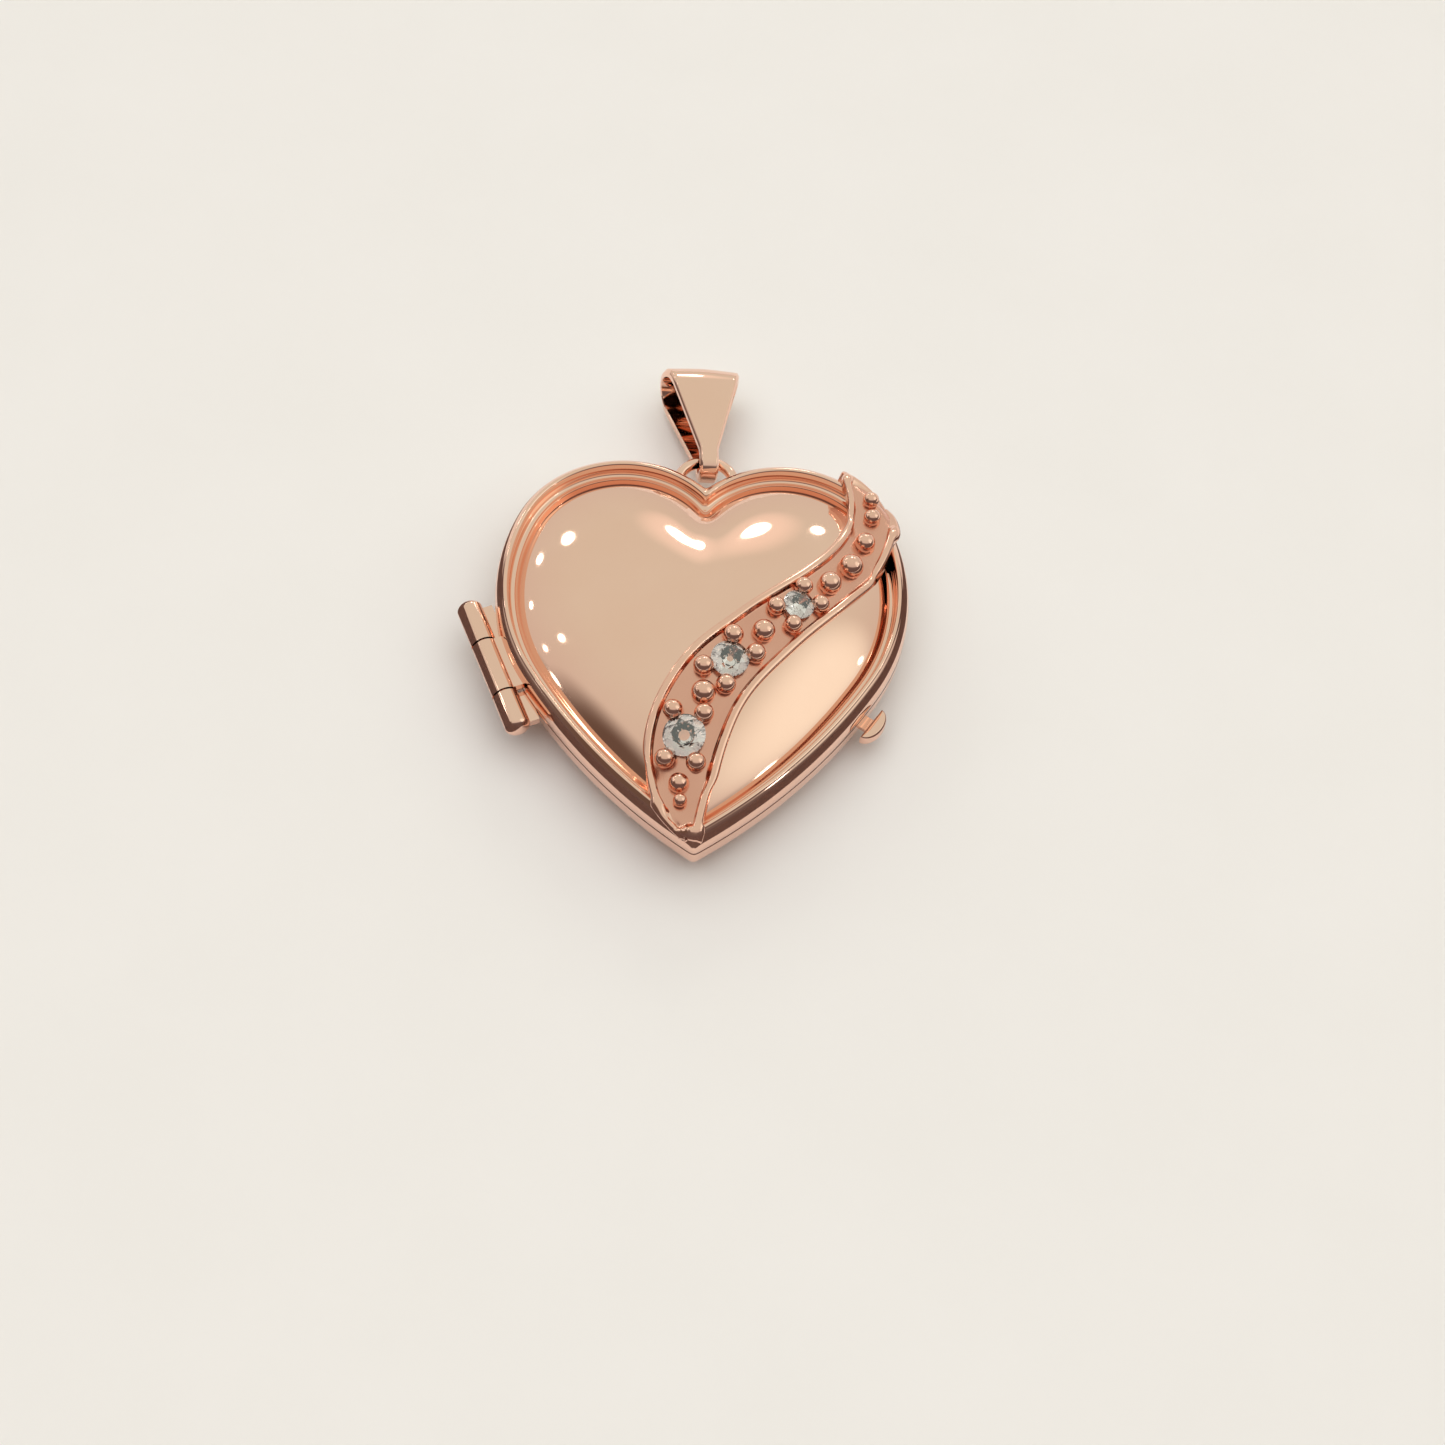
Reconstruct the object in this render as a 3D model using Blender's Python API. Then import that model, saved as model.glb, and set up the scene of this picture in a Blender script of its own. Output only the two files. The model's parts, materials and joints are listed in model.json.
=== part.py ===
"""Heart locket with a jewelled swirl band, built as an assembly of separate pieces.

Metres, +Z up. The locket lies on its back: the front faces +Z and the bail points to +Y.
The origin is the centre of the flat panel on the back, which the locket rests on.
"""
import math

import bmesh
import bpy
import numpy as np
from mathutils import Matrix, Vector
from mathutils.bvhtree import BVHTree

MM = 0.001

# Heart outline: three arcs a side, whose radii go with the heart's width.
HEART_WIDTH = 20.0 * MM
LOBE_RADIUS = 0.2875 * HEART_WIDTH
SHOULDER_RADIUS = 0.525 * HEART_WIDTH
FLANK_RADIUS = 1.425 * HEART_WIDTH
LOBE_CENTER_Y = 0.255 * HEART_WIDTH
DOME_CENTER_Y = 0.05 * HEART_WIDTH
SHOULDER_TOP = math.radians(22.0)
SHOULDER_END = math.radians(-31.6)
LOBE_STEPS = 9
SHOULDER_STEPS = 7
FLANK_STEPS = 8

# Case halves: heights run up from the back face or the seam, insets run in from the outline.
BACK_DEPTH = 2.2 * MM
BACK_STRAIGHT = 0.5 * MM
BACK_PANEL_INSET = 2.8 * MM
SEAM_GAP = 0.05 * MM
WALL = 0.4 * MM
RIM_HEIGHT = 1.18 * MM
RIM_STRAIGHT = 0.25 * MM
RIM_CREST_INSET = 0.52 * MM
GROOVE_INSET = 0.87 * MM
GROOVE_HEIGHT = 0.45 * MM
DOME_INSET = 0.95 * MM
DOME_RISE = 2.45 * MM
DOME_FULLNESS = 2.3
DOME_ROUNDNESS = 0.85
DOME_SOFTENING = 0.15 * HEART_WIDTH
DOME_ROWS = 7
DOME_ROW_SPREAD = 1.3
RIM_ROWS = 4
BACK_ROWS = 6
DOME_WALL = 0.32 * MM
LINING_SHIFT = 0.03 * MM
# Height above the whole case, where cutters end and the rays that place the stones start.
CLEAR_TOP = 8.0 * MM

# Closing lip inside the back half, and the photo recess of each half.
LIP_GAP = 0.05 * MM
LIP_THICKNESS = 0.27 * MM
LIP_HEIGHT = 0.4 * MM
FRAME_INSET = 1.35 * MM
FRAME_WIDTH = 0.9 * MM
FRAME_THICKNESS = 0.2 * MM
WINDOW_THICKNESS = 0.08 * MM
CARD_THICKNESS = 0.12 * MM
STACK_GAP = 0.04 * MM
CARD_INSET = 1.6 * MM

# Swirl band: heights above the dome, bridging the groove, and the clearance under it.
BAND_GAP = 0.03 * MM
BAND_FLOOR = 0.3 * MM
BAND_RAIL = 0.66 * MM
BAND_BULGE = 0.2 * MM
BAND_BASE = 0.3 * MM
RAIL_WIDTH = 0.42 * MM
BAND_STEPS = 24
LOOK_AHEAD = 0.2
SLOPE_REACH = 0.13 * MM
# Outer edges of the two rails, from the lobe to the tip, in half-widths of the heart.
LEFT_RAIL = ((0.655, 0.995), (0.695, 0.785), (0.62, 0.535), (0.46, 0.315), (0.17, 0.047),
             (-0.08, -0.21), (-0.225, -0.52), (-0.21, -0.86), (-0.06, -1.055))
RIGHT_RAIL = ((0.905, 0.87), (0.93, 0.65), (0.85, 0.40), (0.68, 0.165), (0.43, -0.12),
              (0.23, -0.375), (0.13, -0.60), (0.06, -0.88), (0.025, -1.075))

# Stones: name, place along the band (0 at the lobe, 8 at the tip), diameter, prong radius.
STONES = (("diamond_upper", 3.5, 1.5 * MM, 0.44 * MM),
          ("diamond_middle", 4.73, 1.8 * MM, 0.48 * MM),
          ("diamond_lower", 6.12, 2.0 * MM, 0.47 * MM))
STONE_GIRDLE = 0.52 * MM
GIRDLE_THICKNESS = 0.06 * MM
CROWN_RATIO = 0.15
TABLE_RATIO = 0.56
PAVILION_RATIO = 0.34
SEAT_GAP = 0.03 * MM
PRONG_ANGLE = math.radians(32.0)
PRONG_LIFT = 0.48 * MM
PRONG_HOLD = 0.8
# Beads raised between the stones: place along the band, radius.
BEADS = ((0.56, 0.4 * MM), (0.98, 0.42 * MM), (1.6, 0.5 * MM), (2.35, 0.6 * MM), (2.92, 0.56 * MM),
         (4.08, 0.55 * MM), (5.39, 0.58 * MM), (6.77, 0.48 * MM), (7.13, 0.33 * MM))
BEAD_LIFT = 0.45 * MM

# Hinge on the left shoulder, its axis level with the seam.
HINGE_ANGLE = math.radians(-23.2)
HINGE_STANDOFF = 0.74 * MM
KNUCKLE_RADIUS = 0.62 * MM
KNUCKLE_GAP = 0.1 * MM
KNUCKLE_DOME = 0.43 * MM
KNUCKLE_DOME_STEPS = 4
KNUCKLE_LENGTHS = (2.5 * MM, 2.9 * MM, 2.1 * MM)
HINGE_START = -3.7 * MM
PIN_RADIUS = 0.25 * MM
PIN_CLEARANCE = 0.05 * MM
PIN_END_MARGIN = 0.6 * MM
LEAF_THICKNESS = 0.45 * MM
LEAF_REACH = 2.2 * MM
SOLDER_GAP = 0.03 * MM
ROUND_STEPS = 16

# Thumb tab on the right flank.
TAB_ANGLE = math.radians(-33.6)
TAB_REACH = 0.95 * MM
TAB_NECK = 0.32 * MM
TAB_HALF_WIDTH = 0.95 * MM
TAB_HALF_NECK = 0.72 * MM
TAB_BOTTOM = BACK_DEPTH - 1.05 * MM
TAB_THICKNESS = 0.6 * MM
TAB_STEPS = 8

# Hanging ring in the notch, and the bail that swings on it.
RING_RADIUS = 1.42 * MM
RING_WIRE = 0.28 * MM
RING_RISE = 1.02 * MM
RING_HEIGHT = BACK_DEPTH - 0.35 * MM
RING_STEPS = 28
WIRE_STEPS = 10
BAIL_LENGTH = 6.7 * MM
BAIL_THICKNESS = 0.42 * MM
BAIL_TOP_RADIUS = 1.45 * MM
BAIL_FOOT_CLEARANCE = 0.2 * MM
BAIL_SLACK = 0.2 * MM
BAIL_TOP_WIDTH = 4.15 * MM
BAIL_FOOT_WIDTH = 0.95 * MM
BAIL_FLARE_START = 1.3 * MM
BAIL_BEVEL = 0.16 * MM
BAIL_ROLL = math.radians(8.0)
BAIL_LEAN = math.radians(5.5)
BAIL_FLOOR_GAP = 0.02 * MM
BAIL_TOP_STEPS = 10
BAIL_FOOT_STEPS = 6
BAIL_LEG_STEPS = 4

ROSE_GOLD = ((0.93, 0.62, 0.49), 0.08, 1.0)
DIAMOND = ((0.95, 0.95, 0.97), 0.02, 0.0)
ACETATE = ((0.9, 0.92, 0.93), 0.05, 0.0)
CARD = ((0.86, 0.84, 0.8), 0.8, 0.0)


def clear_scene():
    for item in list(bpy.data.objects):
        bpy.data.objects.remove(item, do_unlink=True)


def add_material(item, finish):
    colour, roughness, metallic = finish
    material = bpy.data.materials.new(item.name)
    material.use_nodes = True
    shader = material.node_tree.nodes["Principled BSDF"]
    shader.inputs["Base Color"].default_value = (*colour, 1.0)
    shader.inputs["Roughness"].default_value = roughness
    shader.inputs["Metallic"].default_value = metallic
    item.data.materials.append(material)


def add_object(name, mesh, finish=None):
    """Link a mesh as an object; without a finish it is a guide that the others are cut with."""
    item = bpy.data.objects.new(name, mesh)
    bpy.context.collection.objects.link(item)
    if finish:
        add_material(item, finish)
        mesh.shade_smooth()
        mesh.set_sharp_from_angle(angle=math.radians(30))
    else:
        item.hide_render = True
        item.display_type = "WIRE"
    return item


def mesh_from(name, bm):
    bmesh.ops.recalc_face_normals(bm, faces=bm.faces)
    mesh = bpy.data.meshes.new(name)
    bm.to_mesh(mesh)
    bm.free()
    return mesh


def boolean(item, cutter, operation="DIFFERENCE"):
    modifier = item.modifiers.new(cutter.name, "BOOLEAN")
    modifier.operation = operation
    modifier.object = cutter


def add_pivot(name, location):
    pivot = bpy.data.objects.new(name, None)
    pivot.location = location
    bpy.context.collection.objects.link(pivot)
    return pivot


def hang_on(item, pivot):
    item.parent = pivot
    item.matrix_parent_inverse = Matrix.Translation(-pivot.location)


# ---- Heart outline -------------------------------------------------------------------------

def arc_centers():
    """Centres of the right lobe, shoulder and flank arcs, each tangent to the next."""
    lobe_x = HEART_WIDTH / 2 - SHOULDER_RADIUS + (SHOULDER_RADIUS - LOBE_RADIUS) * math.cos(SHOULDER_TOP)
    lobe = np.array([lobe_x, LOBE_CENTER_Y])
    top = np.array([math.cos(SHOULDER_TOP), math.sin(SHOULDER_TOP)])
    end = np.array([math.cos(SHOULDER_END), math.sin(SHOULDER_END)])
    shoulder = lobe + top * (LOBE_RADIUS - SHOULDER_RADIUS)
    flank = shoulder + end * (SHOULDER_RADIUS - FLANK_RADIUS)
    return lobe, shoulder, flank


def arc(center, radius, start, stop, steps):
    angles = np.linspace(start, stop, steps + 1)
    return center + radius * np.stack([np.cos(angles), np.sin(angles)], axis=1)


def mitred_ring(inset):
    """The outline moved in by inset, anticlockwise from the tip, sharp at the tip and the notch."""
    lobe, shoulder, flank = arc_centers()
    tip = -math.acos(-flank[0] / (FLANK_RADIUS - inset))
    notch = math.pi - math.acos(lobe[0] / (LOBE_RADIUS - inset))
    right = np.vstack([
        arc(flank, FLANK_RADIUS - inset, tip, SHOULDER_END, FLANK_STEPS),
        arc(shoulder, SHOULDER_RADIUS - inset, SHOULDER_END, SHOULDER_TOP, SHOULDER_STEPS)[1:],
        arc(lobe, LOBE_RADIUS - inset, SHOULDER_TOP, notch, LOBE_STEPS)[1:]])
    left = right[-2:0:-1] * (-1, 1)
    return np.vstack([right, left])


def soft_ring(scale):
    """The dome's base outline shrunk to its centre, its two corners rounding as it shrinks."""
    base = mitred_ring(DOME_INSET)
    around = base[:, 0] + 1j * base[:, 1]
    length = np.abs(np.diff(np.append(around, around[0]))).sum()
    waves = np.fft.fftfreq(len(around), 1 / len(around))
    blur = 2 * math.pi * waves * DOME_SOFTENING * (1 - scale) / length
    rounded = np.fft.ifft(np.fft.fft(around) * np.exp(-blur ** 2 / 2))
    center = np.array([0.0, DOME_CENTER_Y])
    return center + scale * (np.stack([rounded.real, rounded.imag], axis=1) - center)


def heart_ring(inset):
    reach = HEART_WIDTH / 2 - DOME_INSET
    if inset <= DOME_INSET:
        return mitred_ring(inset)
    return soft_ring(1 - (inset - DOME_INSET) / reach)


def row(points, height):
    return [(x, y, height) for x, y in points]


def loft(name, rows, closed=False):
    """Skin rows of equal length; an open stack is capped, with a one-point row as a fan."""
    bm = bmesh.new()
    made = [[bm.verts.new(point) for point in points] for points in rows]
    pairs = list(zip(made, made[1:] + made[:1])) if closed else list(zip(made, made[1:]))
    for low, high in pairs:
        count = max(len(low), len(high))
        for i in range(count):
            j = (i + 1) % count
            corners = [low[i % len(low)], low[j % len(low)], high[j % len(high)], high[i % len(high)]]
            bm.faces.new(list(dict.fromkeys(corners)))
    if not closed:
        for end in (made[0], made[-1]):
            if len(end) > 2:
                bm.faces.new(end)
    return mesh_from(name, bm)


def prism(name, outline, bottom, top):
    return loft(name, [row(outline, bottom), row(outline, top)])


# ---- Case halves ---------------------------------------------------------------------------

def seam_height():
    return BACK_DEPTH + SEAM_GAP


def dome_height(scale):
    return GROOVE_HEIGHT + DOME_RISE * (1 - scale ** DOME_FULLNESS) ** DOME_ROUNDNESS


def dome_scales():
    """Ring scales from the dome's base to near its top, closest together at the base."""
    return [1 - (i / DOME_ROWS) ** DOME_ROW_SPREAD for i in range(DOME_ROWS)]


def quarter(start, stop, rise_first, steps):
    """Quarter ellipse from start to stop, as (inset, height); rise_first leaves start vertically."""
    points = []
    for i in range(1, steps + 1):
        turn = math.pi / 2 * i / steps
        along, up = math.sin(turn), 1 - math.cos(turn)
        if rise_first:
            along, up = 1 - math.cos(turn), math.sin(turn)
        points.append((start[0] + (stop[0] - start[0]) * along, start[1] + (stop[1] - start[1]) * up))
    return points


def front_section(grow_out, grow_up):
    """The rim's outer side and crest, as (inset, height above the seam)."""
    foot = (-grow_out, RIM_STRAIGHT)
    crest = (RIM_CREST_INSET, RIM_HEIGHT + grow_up)
    return [(-grow_out, 0.0), foot] + quarter(foot, crest, True, RIM_ROWS)


def dome_rows(lift, first=0):
    """Rows of the dome from its base, or from a later row, to its top point."""
    seam = seam_height()
    rows = [row(soft_ring(scale), seam + dome_height(scale) + lift) for scale in dome_scales()[first:]]
    rows.append([(0.0, DOME_CENTER_Y, seam + dome_height(0.0) + lift)])
    return rows


def case_form(name, grow_out, grow_up):
    """Solid form of the front half that bridges the groove, which pieces on it are cut to."""
    seam = seam_height()
    above_crest = sum(dome_height(scale) <= RIM_HEIGHT for scale in dome_scales())
    section = [(-grow_out, -BACK_DEPTH / 2)] + front_section(grow_out, grow_up)
    rows = [row(heart_ring(inset), seam + height) for inset, height in section]
    return add_object(name, loft(name, rows + dome_rows(grow_up, above_crest)))


def front_rows():
    """Outside of the front half from the seam, over the rim and the groove, to the dome's top."""
    seam = seam_height()
    crest = (RIM_CREST_INSET, RIM_HEIGHT)
    groove = (GROOVE_INSET, GROOVE_HEIGHT)
    section = front_section(0.0, 0.0) + quarter(crest, groove, False, RIM_ROWS)
    return [row(heart_ring(inset), seam + height) for inset, height in section] + dome_rows(0.0)


def front_lining():
    """Inside of the front half, from the dome's top down to the seam."""
    seam = seam_height()
    hollow = [(WALL, 0.0), (WALL, RIM_HEIGHT / 2), (RIM_CREST_INSET, RIM_HEIGHT - WALL),
              ((WALL + GROOVE_INSET) / 2 + LINING_SHIFT, RIM_HEIGHT / 2),
              (GROOVE_INSET + LINING_SHIFT, GROOVE_HEIGHT - DOME_WALL)]
    rows = [row(heart_ring(inset), seam + height) for inset, height in hollow]
    return list(reversed(rows + dome_rows(-DOME_WALL)))


def make_front_cover(seats):
    item = add_object("front_cover", loft("front_cover", front_lining() + front_rows()), ROSE_GOLD)
    for seat in seats:
        boolean(item, seat)
    return item


def make_back_cover():
    """Back shell: a straight side at the seam, a rounded back and a flat panel to rest on."""
    side = BACK_DEPTH - BACK_STRAIGHT
    outside = quarter((BACK_PANEL_INSET, 0.0), (0.0, side), False, BACK_ROWS)
    rows = [row(heart_ring(BACK_PANEL_INSET), 0.0)]
    rows += [row(heart_ring(inset), height) for inset, height in outside]
    rows.append(row(heart_ring(0.0), BACK_DEPTH))
    inside = quarter((WALL, side), (BACK_PANEL_INSET, WALL), True, BACK_ROWS)
    rows += [row(heart_ring(WALL), BACK_DEPTH), row(heart_ring(WALL), side)]
    rows += [row(heart_ring(inset), height) for inset, height in inside]
    return add_object("back_cover", loft("back_cover", rows), ROSE_GOLD)


def band_of(name, outer, inner, bottom, top, finish):
    """Flat-sided heart-shaped ring between two insets."""
    rows = [row(heart_ring(outer), bottom), row(heart_ring(outer), top),
            row(heart_ring(inner), top), row(heart_ring(inner), bottom)]
    return add_object(name, loft(name, rows, closed=True), finish)


def make_closing_lip():
    outer = WALL + LIP_GAP
    return band_of("closing_lip", outer, outer + LIP_THICKNESS, BACK_DEPTH - BACK_STRAIGHT,
                   seam_height() + LIP_HEIGHT, ROSE_GOLD)


def make_recess(half, mouth, inward):
    """Photo frame, window and card of one half, stacked inward from the mouth of its recess."""
    def span(distance, thickness):
        return sorted((mouth + inward * distance, mouth + inward * (distance + thickness)))
    depth = STACK_GAP
    frame = band_of("photo_frame_" + half, FRAME_INSET, FRAME_INSET + FRAME_WIDTH,
                    *span(depth, FRAME_THICKNESS), ROSE_GOLD)
    depth += FRAME_THICKNESS + STACK_GAP
    outline = heart_ring(FRAME_INSET + STACK_GAP)
    name = "photo_window_" + half
    window = add_object(name, prism(name, outline, *span(depth, WINDOW_THICKNESS)), ACETATE)
    depth += WINDOW_THICKNESS + STACK_GAP
    outline = heart_ring(CARD_INSET)
    name = "photo_card_" + half
    card = add_object(name, prism(name, outline, *span(depth, CARD_THICKNESS)), CARD)
    return frame, window, card


# ---- Swirl band and stones -----------------------------------------------------------------

def rail_point(points, place):
    """Catmull-Rom curve through a rail's points; place counts the points from the lobe."""
    first = min(int(place), len(points) - 2)
    share = place - first
    ends = [np.array(points[min(max(first + i, 0), len(points) - 1)]) for i in (-1, 0, 1, 2)]
    before, start, stop, after = ends
    curve = (2 * start + (stop - before) * share
             + (2 * before - 5 * start + 4 * stop - after) * share ** 2
             + (3 * start - before - 3 * stop + after) * share ** 3) / 2
    return curve * HEART_WIDTH / 2


def band_middle(place):
    return (rail_point(LEFT_RAIL, place) + rail_point(RIGHT_RAIL, place)) / 2


def band_outline(margin):
    """Plan outline of the band, moved in from its sides and ends by margin."""
    left, right = [], []
    last = len(LEFT_RAIL) - 1
    start = margin / np.linalg.norm(band_middle(1) - band_middle(0))
    stop = last - margin / np.linalg.norm(band_middle(last) - band_middle(last - 1))
    for i in range(BAND_STEPS + 1):
        place = start + (stop - start) * i / BAND_STEPS
        a, b = rail_point(LEFT_RAIL, place), rail_point(RIGHT_RAIL, place)
        across = (b - a) / np.linalg.norm(b - a)
        left.append(a + across * margin)
        right.append(b - across * margin)
    return np.array(left[::-1] + right)


def band_place(surface, place):
    """Frame on the dome at a place along the band: origin, X along the band, Z out of the dome."""
    last = len(LEFT_RAIL) - 1

    def drop(x, y):
        return surface.ray_cast(Vector((x, y, CLEAR_TOP)), Vector((0, 0, -1)))[0]

    x, y = band_middle(place)
    ahead = band_middle(min(place + LOOK_AHEAD, last)) - band_middle(place)
    slope_x = drop(x + SLOPE_REACH, y) - drop(x - SLOPE_REACH, y)
    slope_y = drop(x, y + SLOPE_REACH) - drop(x, y - SLOPE_REACH)
    up = slope_x.cross(slope_y).normalized()
    along = Vector((*ahead, 0.0))
    along = (along - up * along.dot(up)).normalized()
    turn = Matrix((along, up.cross(along), up)).transposed().to_4x4()
    return Matrix.Translation(drop(x, y)) @ turn


def stone_rows(diameter, grow):
    """Brilliant cut from its culet up: pavilion, girdle, crown and table."""
    radius = diameter / 2 + grow
    girdle = STONE_GIRDLE
    crown = girdle + GIRDLE_THICKNESS + CROWN_RATIO * diameter + grow
    culet = girdle - PAVILION_RATIO * diameter - 2 * grow

    def ring(r, height):
        angles = [2 * math.pi * i / ROUND_STEPS for i in range(ROUND_STEPS)]
        return [(r * math.cos(a), r * math.sin(a), height) for a in angles]

    return [[(0.0, 0.0, culet)], ring(radius, girdle), ring(radius, girdle + GIRDLE_THICKNESS),
            ring(TABLE_RATIO * radius, crown)]


def make_stones(surface):
    """The stones, and for each the grown form that its seat is cut with."""
    stones, seats = [], []
    for name, place, diameter, _ in STONES:
        frame = band_place(surface, place)
        stone = add_object(name, loft(name, stone_rows(diameter, 0.0)), DIAMOND)
        stone.matrix_world = frame
        seat = add_object(name + "_seat", loft(name + "_seat", stone_rows(diameter, SEAT_GAP)))
        seat.matrix_world = frame
        stones.append(stone)
        seats.append(seat)
    return stones, seats


def make_beads(surface):
    """Prong beads round each stone and the larger beads between, as one guide."""
    bm = bmesh.new()

    def bead(frame, x, y, lift, radius):
        place = frame @ Matrix.Translation((x, y, lift))
        bmesh.ops.create_uvsphere(bm, u_segments=8, v_segments=6, radius=radius, matrix=place)

    for place, radius in BEADS:
        bead(band_place(surface, place), 0.0, 0.0, BEAD_LIFT, radius)
    for _, place, diameter, radius in STONES:
        frame = band_place(surface, place)
        distance = diameter / 2 + radius * PRONG_HOLD
        for angle in (PRONG_ANGLE, -PRONG_ANGLE, math.pi - PRONG_ANGLE, math.pi + PRONG_ANGLE):
            bead(frame, distance * math.cos(angle), distance * math.sin(angle), PRONG_LIFT, radius)
    return add_object("beads", mesh_from("beads", bm))


def make_swirl_band(surface, seats):
    """Band of two rails and a sunk floor, cut to the case and carrying the beads."""
    seam = seam_height()
    blank = prism("swirl_band", band_outline(0.0), seam + BAND_BASE, CLEAR_TOP)
    item = add_object("swirl_band", blank, ROSE_GOLD)
    channel = add_object("channel", prism("channel", band_outline(RAIL_WIDTH), seam, CLEAR_TOP + BAND_RAIL))
    boolean(channel, case_form("floor_form", BAND_BULGE / 2, BAND_FLOOR))
    boolean(item, case_form("rail_form", BAND_BULGE, BAND_RAIL), "INTERSECT")
    boolean(item, channel)
    boolean(item, make_beads(surface), "UNION")
    boolean(item, case_form("under_form", BAND_GAP, BAND_GAP))
    for seat in seats:
        boolean(item, seat)
    return item


# ---- Hinge ---------------------------------------------------------------------------------

def hinge_frame():
    """Frame on the hinge axis: X towards the case, Y up, Z along the axis to the tip."""
    shoulder = arc_centers()[1]
    out = np.array([math.cos(HINGE_ANGLE), math.sin(HINGE_ANGLE)])
    x, y = shoulder + out * (SHOULDER_RADIUS + HINGE_STANDOFF)
    inward = Vector((out[0], -out[1], 0.0))
    up = Vector((0.0, 0.0, 1.0))
    turn = Matrix((inward, up, inward.cross(up))).transposed().to_4x4()
    return Matrix.Translation((-x, y, BACK_DEPTH + SEAM_GAP / 2)) @ turn


def turned(name, profile, steps=ROUND_STEPS):
    """Spin a profile of (radius, height) about Z; points on the axis close it."""
    rows = []
    for radius, height in profile:
        if radius == 0.0:
            rows.append([(0.0, 0.0, height)])
        else:
            angles = [2 * math.pi * i / steps for i in range(steps)]
            rows.append([(radius * math.cos(a), radius * math.sin(a), height) for a in angles])
    return loft(name, rows, closed=profile[0][0] != 0.0)


def knuckle_spans():
    spans, start = [], HINGE_START
    for length in KNUCKLE_LENGTHS:
        spans.append((start, start + length))
        start += length + KNUCKLE_GAP
    return spans


def end_knuckle_profile(mouth, closed_end):
    """Blind knuckle: bore from its mouth, and a domed closed end."""
    bore = PIN_RADIUS + PIN_CLEARANCE
    way = 1 if closed_end > mouth else -1
    stop = closed_end - way * (PIN_END_MARGIN - PIN_CLEARANCE)
    dome = []
    for i in range(KNUCKLE_DOME_STEPS):
        turn = math.pi / 2 * i / KNUCKLE_DOME_STEPS
        dome.append((KNUCKLE_RADIUS * math.cos(turn), closed_end - way * KNUCKLE_DOME * (1 - math.sin(turn))))
    return [(0.0, stop), (bore, stop), (bore, mouth), (KNUCKLE_RADIUS, mouth)] + dome + [(0.0, closed_end)]


def make_leaf(name, frame, span, side):
    """Leaf that joins a knuckle to its half; side is 1 above the seam and -1 below it."""
    near = SEAM_GAP
    far = near + LEAF_THICKNESS
    low, high = sorted((side * near, side * far))
    inner = (KNUCKLE_RADIUS + PIN_RADIUS + PIN_CLEARANCE) / 2
    outline = [(inner, low), (LEAF_REACH, low), (LEAF_REACH, high), (inner, high)]
    leaf = add_object(name + "_leaf", prism(name + "_leaf", outline, span[0], span[1]))
    leaf.matrix_world = frame
    return leaf


def make_knuckle(name, profile, frame, leaf_span, side, case):
    item = add_object(name, turned(name, profile), ROSE_GOLD)
    item.matrix_world = frame
    boolean(item, make_leaf(name, frame, leaf_span, side), "UNION")
    boolean(item, case)
    return item


def make_hinge(case):
    """Three knuckles and their pin; the middle knuckle belongs to the front half."""
    frame = hinge_frame()
    upper, middle, lower = knuckle_spans()
    bore = PIN_RADIUS + PIN_CLEARANCE
    tube = [(bore, middle[0]), (KNUCKLE_RADIUS, middle[0]), (KNUCKLE_RADIUS, middle[1]), (bore, middle[1])]
    make_knuckle("hinge_knuckle_upper", end_knuckle_profile(upper[1], upper[0]), frame,
                 (upper[0] + KNUCKLE_DOME, upper[1]), -1, case)
    make_knuckle("hinge_knuckle_lower", end_knuckle_profile(lower[0], lower[1]), frame,
                 (lower[0], lower[1] - KNUCKLE_DOME), -1, case)
    swinging = make_knuckle("hinge_knuckle_middle", tube, frame, middle, 1, case)
    ends = (upper[0] + PIN_END_MARGIN, lower[1] - PIN_END_MARGIN)
    rod = [(0.0, ends[0]), (PIN_RADIUS, ends[0]), (PIN_RADIUS, ends[1]), (0.0, ends[1])]
    pin = add_object("hinge_pin", turned("hinge_pin", rod), ROSE_GOLD)
    pin.matrix_world = frame
    return swinging


# ---- Thumb tab, ring and bail --------------------------------------------------------------

def make_thumb_tab(case):
    """Half-moon fingernail tab on a short neck, soldered to the back half's side."""
    moon = [(TAB_NECK + (TAB_REACH - TAB_NECK) * math.sin(a), -TAB_HALF_WIDTH * math.cos(a))
            for a in np.linspace(0.0, math.pi, TAB_STEPS + 1)]
    neck = [(TAB_NECK, TAB_HALF_NECK), (-TAB_NECK, TAB_HALF_NECK), (-TAB_NECK, -TAB_HALF_NECK),
            (TAB_NECK, -TAB_HALF_NECK)]
    item = add_object("thumb_tab", prism("thumb_tab", moon + neck, 0.0, TAB_THICKNESS), ROSE_GOLD)
    flank = arc_centers()[2]
    x, y = flank + FLANK_RADIUS * np.array([math.cos(TAB_ANGLE), math.sin(TAB_ANGLE)])
    item.location = (x, y, TAB_BOTTOM)
    item.rotation_euler = (0.0, 0.0, TAB_ANGLE)
    boolean(item, case)


def ring_center():
    lobe = arc_centers()[0]
    notch = LOBE_CENTER_Y + math.sqrt(LOBE_RADIUS ** 2 - lobe[0] ** 2)
    return Vector((0.0, notch + RING_RISE, RING_HEIGHT))


def make_bail_ring(case):
    """Round wire ring, cut where it is soldered into the notch of the back half."""
    section = [(RING_RADIUS + RING_WIRE * math.cos(a), RING_WIRE * math.sin(a))
               for a in np.linspace(0.0, 2 * math.pi, WIRE_STEPS, endpoint=False)]
    item = add_object("bail_ring", turned("bail_ring", section, RING_STEPS), ROSE_GOLD)
    item.location = ring_center()
    boolean(item, case)


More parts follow.
